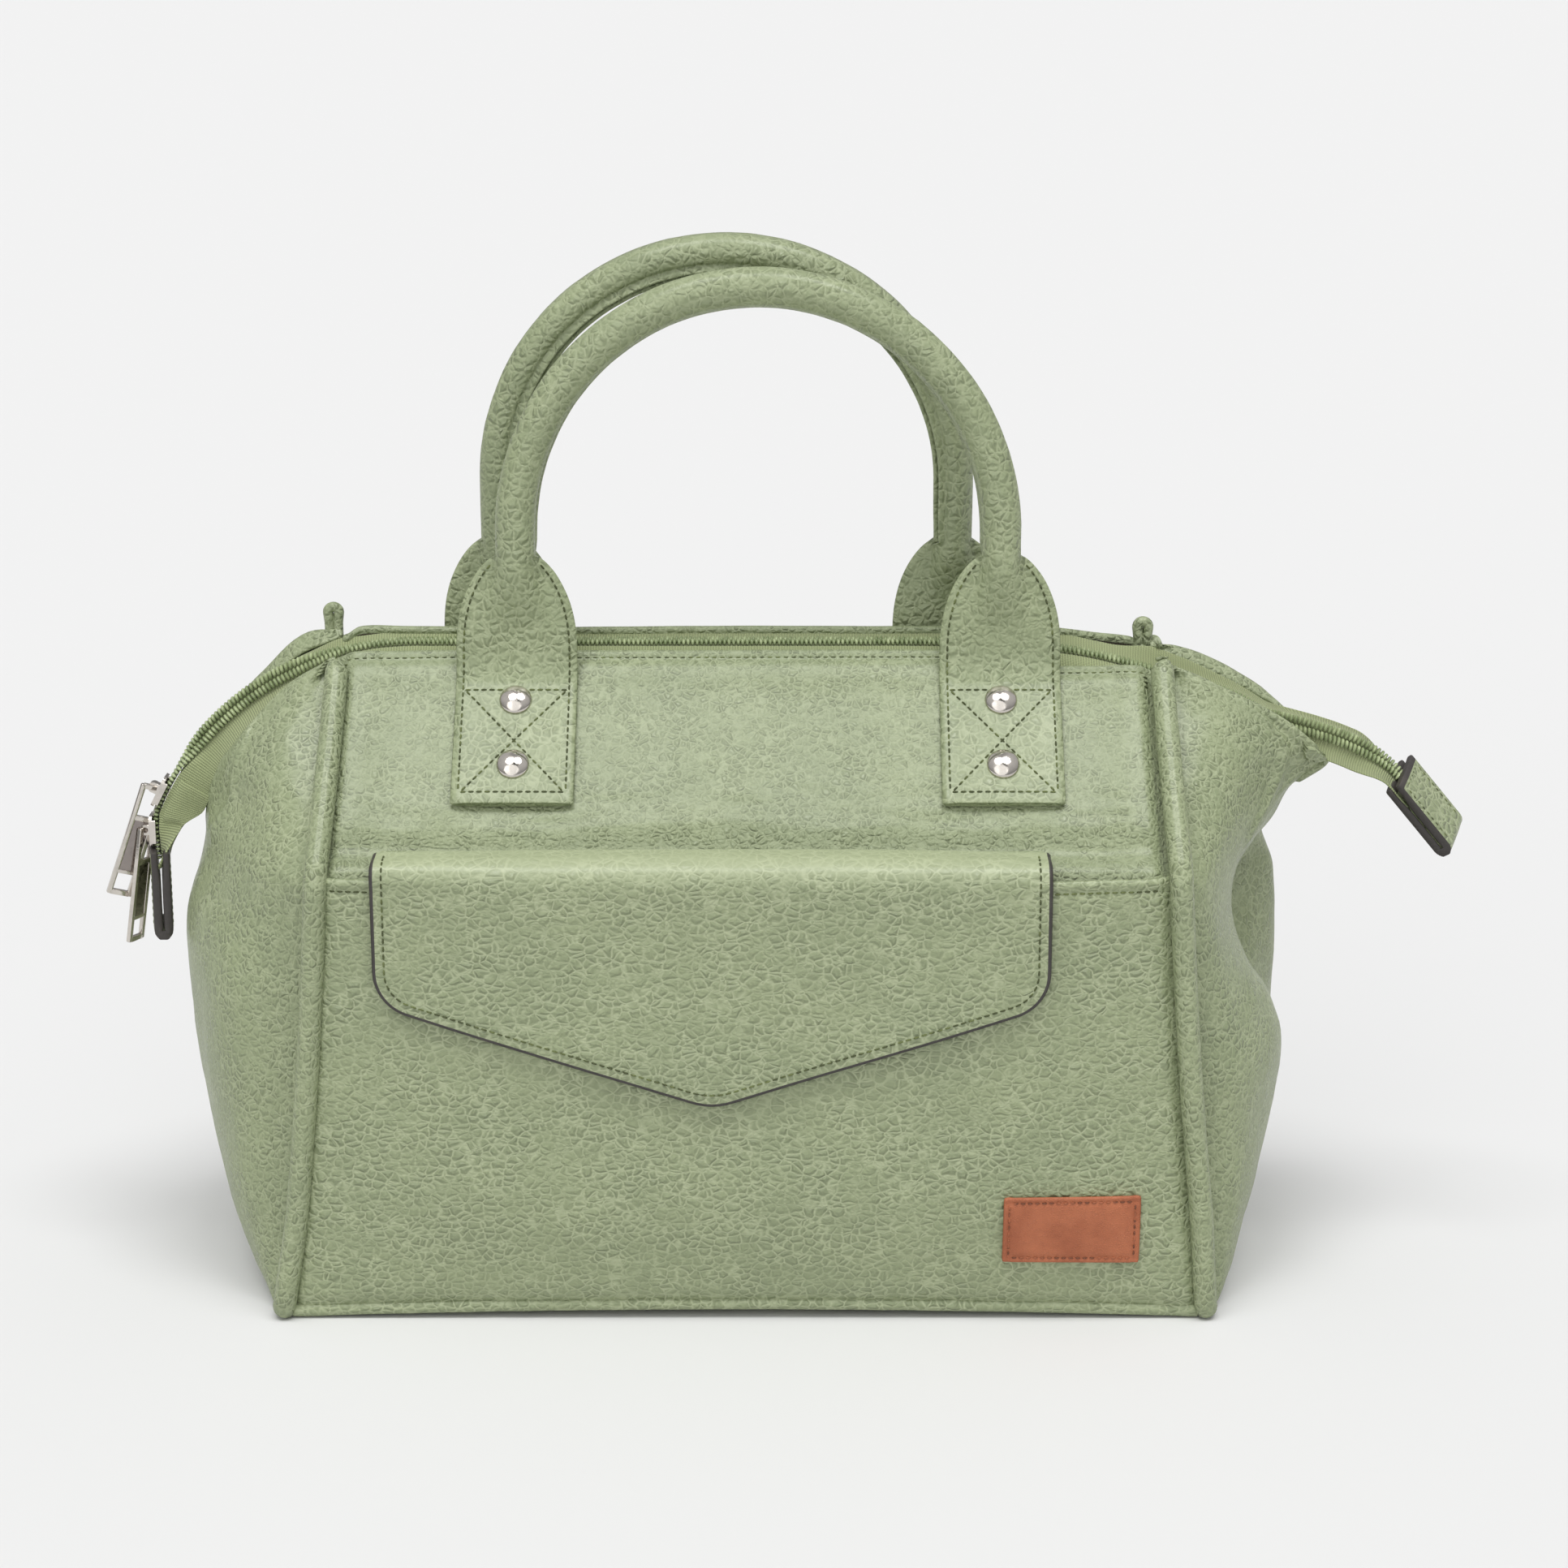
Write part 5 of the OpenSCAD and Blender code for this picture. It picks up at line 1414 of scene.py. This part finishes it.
def strap_stations():
    """Middle points (out, up), outward directions and heights above the fold, from the sewn end up."""
    down = np.array([math.cos(PITCH), -math.sin(PITCH)])
    normal = np.array([math.sin(PITCH), math.cos(PITCH)])
    lip = np.array([LIP_Y, LIP_Z])
    fold = lip + down * FOLD_RUN + normal * FOLD_LIFT
    rise = np.array([-math.sin(LEAN), math.cos(LEAN)])
    upright = np.array([math.cos(LEAN), math.sin(LEAN)])
    lift = normal * (0.5 + STRAP_T / 2)
    start = lip + down * 18 + lift
    gap = fold - start
    matrix = np.array([-down, -rise]).T
    k = np.linalg.solve(matrix, gap)[0]
    control = start - down * k
    end = fold + rise * 7
    rows = []
    for run in STRAP_RUNS:
        rows.append((lip + down * run + lift, normal, -1.0))
    for t in np.linspace(0, 1, 9):
        p = start * (1 - t) ** 2 + 2 * control * t * (1 - t) + end * t * t
        n = unit(mix(normal, upright, smooth(t)))
        rows.append((p, n, 7 * t))
    for h in np.concatenate([np.linspace(8, 30, 14), np.linspace(31, FLARE_H, 9)]):
        rows.append((fold + rise * h, upright, h))
    return rows, fold, rise, upright


def handle(name, side, middle_x, half, rise_h):
    """One handle: sewn strap ends, folds, flares and the roll between, in one skin."""
    rows, fold, rise, upright = strap_stations()
    angles = handle_angles()
    stations = []
    for p, n, h in rows:
        stations.append((np.array([-half, p[0], p[1]]), np.array([1.0, 0, 0]), np.array([0, n[0], n[1]]), h))
    for h in np.linspace(FLARE_H + 1.5, rise_h, 3):
        p = fold + rise * h
        stations.append((np.array([-half, p[0], p[1]]), np.array([1.0, 0, 0]),
                         np.array([0, upright[0], upright[1]]), h))
    for a in np.linspace(math.pi, 0, 90)[1:-1]:
        p = fold + rise * (rise_h + half * math.sin(a))
        inward = np.array([-math.cos(a), -rise[0] * math.sin(a), -rise[1] * math.sin(a)])
        stations.append((np.array([half * math.cos(a), p[0], p[1]]), inward,
                         np.array([0, upright[0], upright[1]]), 60.0))
    for place, inward, out, h in stations[:len(rows) + 3][::-1]:
        stations.append((place * [-1, 1, 1], inward * [-1, 1, 1], out, h))
    seam_gap = (angles - SEAM_TURN + math.pi) % (2 * math.pi) - math.pi
    ridge = 1.5 * (bump_at(seam_gap - 0.17, 0.11) + bump_at(seam_gap + 0.17, 0.11))
    ridge = ridge - 2.6 * bump_at(seam_gap, 0.05)
    ridge -= 0.5 * (bump_at(seam_gap - 0.46, 0.09) + bump_at(seam_gap + 0.46, 0.09))
    rings = []
    for place, inward, out, h in stations:
        x = strap_profile(h)[0] * np.cos(angles)
        y = np.where(np.sin(angles) >= 0, face_depth(x, h), -face_depth(x, h, True))
        seam = smooth((h - 33) / 8)
        grow = 1 + seam * ridge / TUBE_R
        rings.append(place + (x * grow)[:, None] * inward + (y * grow)[:, None] * out)
    rings = np.array(rings)
    soft = 0.16 * relief(rings, 14.0, 3) + 0.1 * relief(rings, 5.0, 8)
    centres = rings.mean(axis=1, keepdims=True)
    round_share = np.array([smooth((h - 15) / 20) for _, _, _, h in stations])[:, None, None]
    rings = rings + unit(rings - centres) * soft[..., None] * round_share
    first = mix(rings[0].mean(axis=0), rings[0], 0.97) + (rings[0] - rings[1]).mean(axis=0) * 0.25
    last = mix(rings[-1].mean(axis=0), rings[-1], 0.97) + (rings[-1] - rings[-2]).mean(axis=0) * 0.25
    rings = np.concatenate([[first], rings, [last]])
    world = rings * [1, side, 1] + [middle_x, 0, 0]
    half_name = half_of(side)
    frame_body = half_name + "_frame"
    obj = loft(name, world, [ROLL_LEATHER], None, None, 60)
    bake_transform(obj)
    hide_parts(half_name + "_handle_roll", half_name + "_handle_ends")
    lines = strap_stitches(stations[:len(rows)], side, middle_x)
    sewn = sewing(name + " stitches", lines)
    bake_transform(sewn)
    rivet_domes(name + " rivets", side, middle_x, half, frame_body, half_name)


def strap_stitches(stations, side, middle_x):
    """Rows along the edges, across the strap above its box, and the crossed box itself."""
    lines = []

    def face(index, x):
        """Point and outward direction on the strap's face at a fractional station."""
        k = int(min(max(index, 0), len(stations) - 1.001))
        f = index - k
        a, b = stations[k], stations[k + 1]
        place = mix(a[0], b[0], f)
        out = unit(mix(a[2], b[2], f))
        y = face_depth(np.array(x), mix(a[3], b[3], f))
        return place + np.array([x, 0, 0]) + out * y, out

    def path(indices, offsets):
        points, outs = zip(*[face(i, x) for i, x in zip(indices, offsets)])
        return np.array(points), np.array(outs)

    heights = [s[3] for s in stations]
    count = len(stations)
    low, high = (np.interp(-run, -STRAP_RUNS, np.arange(24)) for run in BOX_RUNS)
    for edge in (-1, 1):
        index = np.linspace(low, count - 4, 120)
        w = np.array([strap_profile(np.interp(i, np.arange(count), heights))[0] for i in index])
        lines.append(path(index, edge * (w - 2.5)))
    x = np.linspace(-STRAP_W / 2 + 2.5, STRAP_W / 2 - 2.5, 30)
    for at in (low, high):
        lines.append(path(np.full(30, at), x))
    way = np.linspace(0, 1, 40)
    wide = STRAP_W / 2 - 3.2
    lines.append(path(mix(low, high, way), mix(-wide, wide, way)))
    lines.append(path(mix(low, high, way), mix(wide, -wide, way)))
    rows = []
    for mirror in (1, -1):
        for points, outs in lines:
            p = points * [mirror, side, 1] + [middle_x, 0, 0]
            rows.append(stitch_row(p, outs * [mirror, side, 1]))
    return rows


def rivet_domes(name, side, middle_x, half, body, half_name):
    """Domed nickel rivets with a narrow flange."""
    down = np.array([0, side * math.cos(PITCH), -math.sin(PITCH)])
    up = np.array([0, side * math.sin(PITCH), math.cos(PITCH)])
    profile = [(5.2, 0), (5.25, 0.35), (5.05, 0.75), (4.6, 1.15),
               (3.8, 1.6), (2.7, 2.0), (1.4, 2.25), (0.3, 2.32)]
    a = np.linspace(0, 2 * math.pi, 32, endpoint=False)
    points, faces = [], []
    for end in (-1, 1):
        for run in RIVET_RUNS:
            base = np.array([middle_x + end * half, side * LIP_Y, LIP_Z]) + down * run + up * (STRAP_T + 0.45)
            start = len(points)
            for r, h in [(3.9, -0.4)] + profile:
                for angle in a:
                    points.append(base + np.array([1.0, 0, 0]) * r * math.cos(angle)
                                  + down * r * math.sin(angle) + up * h)
            rows = len(profile) + 1
            faces += quads(rows, 32, start, True)
            last = start + (rows - 1) * 32
            faces += [tuple(range(start, start + 32)), tuple(range(last, last + 32))]
    obj = piece(name, points, faces, [SHINY], None, None, 40)
    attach(obj, body)
    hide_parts(half_name + "_handle_rivets")


def handles():
    handle("front handle", -1, 4.4, 78.6, 44.4)
    handle("rear handle", 1, -6.3, 75.0, 57.0)


FLAP_X, FLAP_HALF = -10.2, 107.3
FLAP_TIP, FLAP_SHOULDER, FLAP_CORNER, FLAP_POINT = 76.0, 110.0, 15.0, 20.0
FLAP_T = 2.5


def flap_path():
    """The flap's section as (out, up): from its root on the roof, over the hem and down."""
    rows = [(60.2, 155.6), (60.2, 156.9), (60.6, 157.6), (61.5, 158.0), (63.0, 158.1)]
    for a in np.linspace(0, math.pi / 2, 12):
        rows.append((68.1 + 9.8 * math.sin(a), 148.2 + 9.8 * math.cos(a)))
    rows += [(77.9, z) for z in np.linspace(145, 60, 20)]
    return resample(np.array(rows), 240)


FLAP_PATH = flap_path()
FLAP_RUN = along(FLAP_PATH)


def flap_surface(x, run, under=0.0):
    """Points of the flap's face. x is from its middle and run is from its root."""
    x, run = np.broadcast_arrays(np.asarray(x, float), np.asarray(run, float))
    d, z = (np.interp(run, FLAP_RUN, FLAP_PATH[:, k]) for k in range(2))
    step = np.gradient(FLAP_PATH, axis=0)
    step = unit(step)
    nd, nz = np.interp(run, FLAP_RUN, -step[:, 1]), np.interp(run, FLAP_RUN, step[:, 0])
    world_x = FLAP_X + x
    down = smooth((run - 14) / 12)
    crown = (pocket_depth(world_x, np.minimum(z, 140)) - 74.8) * down
    droop = -1.6 * (np.abs(x) / FLAP_HALF) ** 3 * bump_at(run - 10, 12)
    place = np.stack([world_x, -d, z], -1)
    out = crown + droop - under + 0.45 * relief(place, 42.0, 21) * smooth(run / 10)
    out = out + 0.08 * relief(place, 12.0, 5) + 0.25 * bump_at(run - 22, 9)
    return place + np.stack([0 * x, -nd * out, nz * out], -1)


def flap_low(x, inset=0.0):
    """Height of the flap's lower edge at x, inset from the true edge."""
    slope = (FLAP_SHOULDER - FLAP_TIP) / FLAP_HALF
    line = FLAP_TIP + np.abs(x) * slope
    flat = math.hypot(1, slope)
    point = FLAP_POINT * slope / flat
    near = FLAP_TIP + FLAP_POINT * flat - np.sqrt(np.maximum(FLAP_POINT ** 2 - x ** 2, 0))
    line = np.where(np.abs(x) < point, near, line)
    turn = math.atan(slope)
    r = FLAP_CORNER
    cx = FLAP_HALF - r
    cz = FLAP_TIP + cx * slope + r * flat
    low_x = cx + r * math.sin(turn)
    corner = cz - np.sqrt(np.maximum((r - inset) ** 2 - (np.abs(x) - cx) ** 2, 0))
    line = line + inset * flat
    return np.where(np.abs(x) > low_x - inset * math.sin(turn), corner, line)


def flap():
    """Two layers of leather with a dark painted edge, hung from a welt on the roof."""
    x = dense(141, 0.97)[None, :] * (FLAP_HALF - FLAP_T / 2)
    low = flap_low(x, FLAP_T / 2)
    run_at_low = np.interp(-low, -FLAP_PATH[::-1, 1][::-1], FLAP_RUN)
    v = np.linspace(0, 1, 90)[:, None]
    run = v * run_at_low
    outer = flap_surface(x, run)
    inner = flap_surface(x, run, FLAP_T)
    obj = padded_sheet("flap", outer, inner, [FLAP_LEATHER, LEATHER, PAINTED], 2, None, 5)
    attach(obj, "flap")
    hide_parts("flap_leather", "flap_lining")
    inset = 4.0
    edge = FLAP_HALF - inset
    side_run = np.linspace(6, np.interp(-flap_low(np.array(edge), inset), -FLAP_PATH[:, 1], FLAP_RUN), 50)
    xs = dense(240, 0.97) * edge
    low_run = np.interp(-flap_low(xs, inset), -FLAP_PATH[:, 1], FLAP_RUN)
    path_x = np.concatenate([np.full(50, -edge), xs, np.full(50, edge)])
    path_run = np.concatenate([side_run, low_run, side_run[::-1]])
    path = flap_surface(path_x, path_run)
    ups = surface_normals(flap_surface, path_x, path_run)
    ups = ups * np.where(ups[:, 1:2] - ups[:, 2:3] > 0, -1, 1)
    sewn = sewing("flap stitches", [stitch_row(path, ups)])
    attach(sewn, "flap")
    welt_x = np.linspace(-FLAP_HALF + 1, FLAP_HALF - 1, 90)
    welt = np.stack([FLAP_X + welt_x, np.full(90, -60.9), np.full(90, 156.0)], 1)
    roll = loft("flap welt", covered_cord(welt, [0, 0, 1], 1.2, True, True), [LEATHER])
    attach(roll, "flap")


def lining():
    """Loose cloth bag inside the walls and gussets, open at the top."""
    a = np.linspace(0, 2 * math.pi, 97)[None, :]
    z = np.linspace(6, 136, 40)[:, None]
    power = 0.55
    wide = np.interp(z, [0, 20, 136], [146, 148, 128])
    x = wide * np.sign(np.cos(a)) * np.abs(np.cos(a)) ** power
    y = 60.5 * np.sign(np.sin(a)) * np.abs(np.sin(a)) ** power + 0 * z
    place = np.stack([x, y, z + 0 * a], -1)
    out = unit(place * [1, 1, 0])
    place = place + out * (0.9 * relief(place, np.array([16.0, 16, 40])))[..., None]
    place[:, -1] = place[:, 0]
    obj = padded_sheet("lining", place, place - out * 0.8, [LINED])
    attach(obj, "shell")
    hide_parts("lining")


def finish_cad():
    """Materials and softened edges of the CAD nodes that stay in the scene."""
    finishes = {
        "slider_1": SHINY, "slider_2": SHINY,
        "front_frame_wire": STEEL, "rear_frame_wire": STEEL, "frame_hinge_rivets": STEEL,
        "base_board": BOARD, "front_handle_core": FOAM, "rear_handle_core": FOAM,
        "flap_magnet": STEEL, "pocket_magnet": STEEL,
    }
    for node, finish in finishes.items():
        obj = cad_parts[node]
        obj.data.materials.clear()
        obj.data.materials.append(finish)
        if finish is SHINY:
            soft = obj.modifiers.new("soft edges", "BEVEL")
            soft.width = 0.00025
            soft.segments = 2
            soft.limit_method = "ANGLE"
            soft.angle_limit = math.radians(35)
            soft.harden_normals = True


def studio_floor():
    size = 60.0
    mesh = bpy.data.meshes.new("floor")
    corners = [(-size, -size, 0), (size, -size, 0), (size, size, 0), (-size, size, 0)]
    mesh.from_pydata(corners, [], [(0, 1, 2, 3)])
    floor = bpy.data.objects.new("floor", mesh)
    bpy.context.scene.collection.objects.link(floor)
    material, _, shader = new_material("studio floor")
    shader.inputs["Base Color"].default_value = FLOOR_COLOUR
    shader.inputs["Roughness"].default_value = 0.95
    shader.inputs["Specular IOR Level"].default_value = 0.0
    mesh.materials.append(material)


FLOOR_COLOUR = (0.69, 0.69, 0.69, 1.0)
WORLD_FILL = 0.44


def studio_world():
    """Even pale surroundings: one brightness for the camera, another for the light they give."""
    world = bpy.data.worlds.new("studio")
    bpy.context.scene.world = world
    world.use_nodes = True
    world.node_tree.nodes.clear()
    w = Nodes(world.node_tree)
    path = w.add("ShaderNodeLightPath")
    seen = w.add("ShaderNodeBackground")
    seen.inputs["Color"].default_value = BACKDROP
    lit = w.add("ShaderNodeBackground")
    x, y, z = w.split(w.add("ShaderNodeTexCoord").outputs["Generated"])
    high = w.span(z, -0.1, 0.8, 0.5, 1.25)
    sideways = w.math("ABSOLUTE", x)
    behind = w.span(y, -0.5, -0.3)
    strip = w.math("MAXIMUM", w.span(sideways, 0.2, 0.3, 0.06, 1.0), behind)
    boxes = w.span(sideways, 0.1, 0.35, 0.7, 1.1)
    w.link(w.math("MULTIPLY", high, w.math("MULTIPLY", strip, boxes)), lit.inputs["Color"])
    lit.inputs["Strength"].default_value = WORLD_FILL
    both = w.add("ShaderNodeMixShader")
    w.link(path.outputs["Is Camera Ray"], both.inputs[0])
    w.link(lit.outputs[0], both.inputs[1])
    w.link(seen.outputs[0], both.inputs[2])
    w.link(both.outputs[0], w.add("ShaderNodeOutputWorld").inputs[0])


def sun(name, azimuth, elevation, strength, spread):
    """Soft far light. Azimuth 0 comes from the camera's side and 90 from the right."""
    data = bpy.data.lights.new(name, "SUN")
    data.energy = strength
    data.angle = math.radians(spread)
    obj = bpy.data.objects.new(name, data)
    bpy.context.scene.collection.objects.link(obj)
    a, e = math.radians(azimuth), math.radians(elevation)
    towards = Vector((math.sin(a) * math.cos(e), -math.cos(a) * math.cos(e), math.sin(e)))
    obj.rotation_euler = towards.to_track_quat("Z", "Y").to_euler()


def camera():
    data = bpy.data.cameras.new("camera")
    data.sensor_width = 36.0
    data.lens = 75.58
    obj = bpy.data.objects.new("camera", data)
    bpy.context.scene.collection.objects.link(obj)
    place = Vector((0.012726, -1.06252, 0.44752))
    aim = Vector((0.012726, 0, 0.162817))
    obj.location = place
    obj.rotation_euler = (aim - place).to_track_quat("-Z", "Y").to_euler()
    bpy.context.scene.camera = obj
    bpy.context.scene.view_settings.view_transform = "Standard"


TAN_SEWN = thread("tan thread", srgb(128, 74, 48))

studio_floor()
studio_world()
sun("left soft box", -38, 70, 1.1, 24)
sun("right soft box", 42, 70, 1.2, 24)
sun("front fill", -10, 28, 1.0, 60)
camera()

for half_side, half_swell, half_nodes in ((-1, 0.0, ("front_yoke", "lower_front")),
                                          (1, 3.0, ("rear_yoke", "lower_rear"))):
    half_name = "front leather" if half_side < 0 else "rear leather"
    follow_frame(skin_half(half_name, half_side, half_swell, *half_nodes))
    sewn_lip = lip_stitches(half_side)
    follow_frame(sewn_lip)
    zip_half(half_side)
pocket_panel()
leather_patch()
base_leather()
side_pipings()
bottom_pipings()
gussets()
zip_tabs()
pulls()
handles()
flap()
lining()
finish_cad()
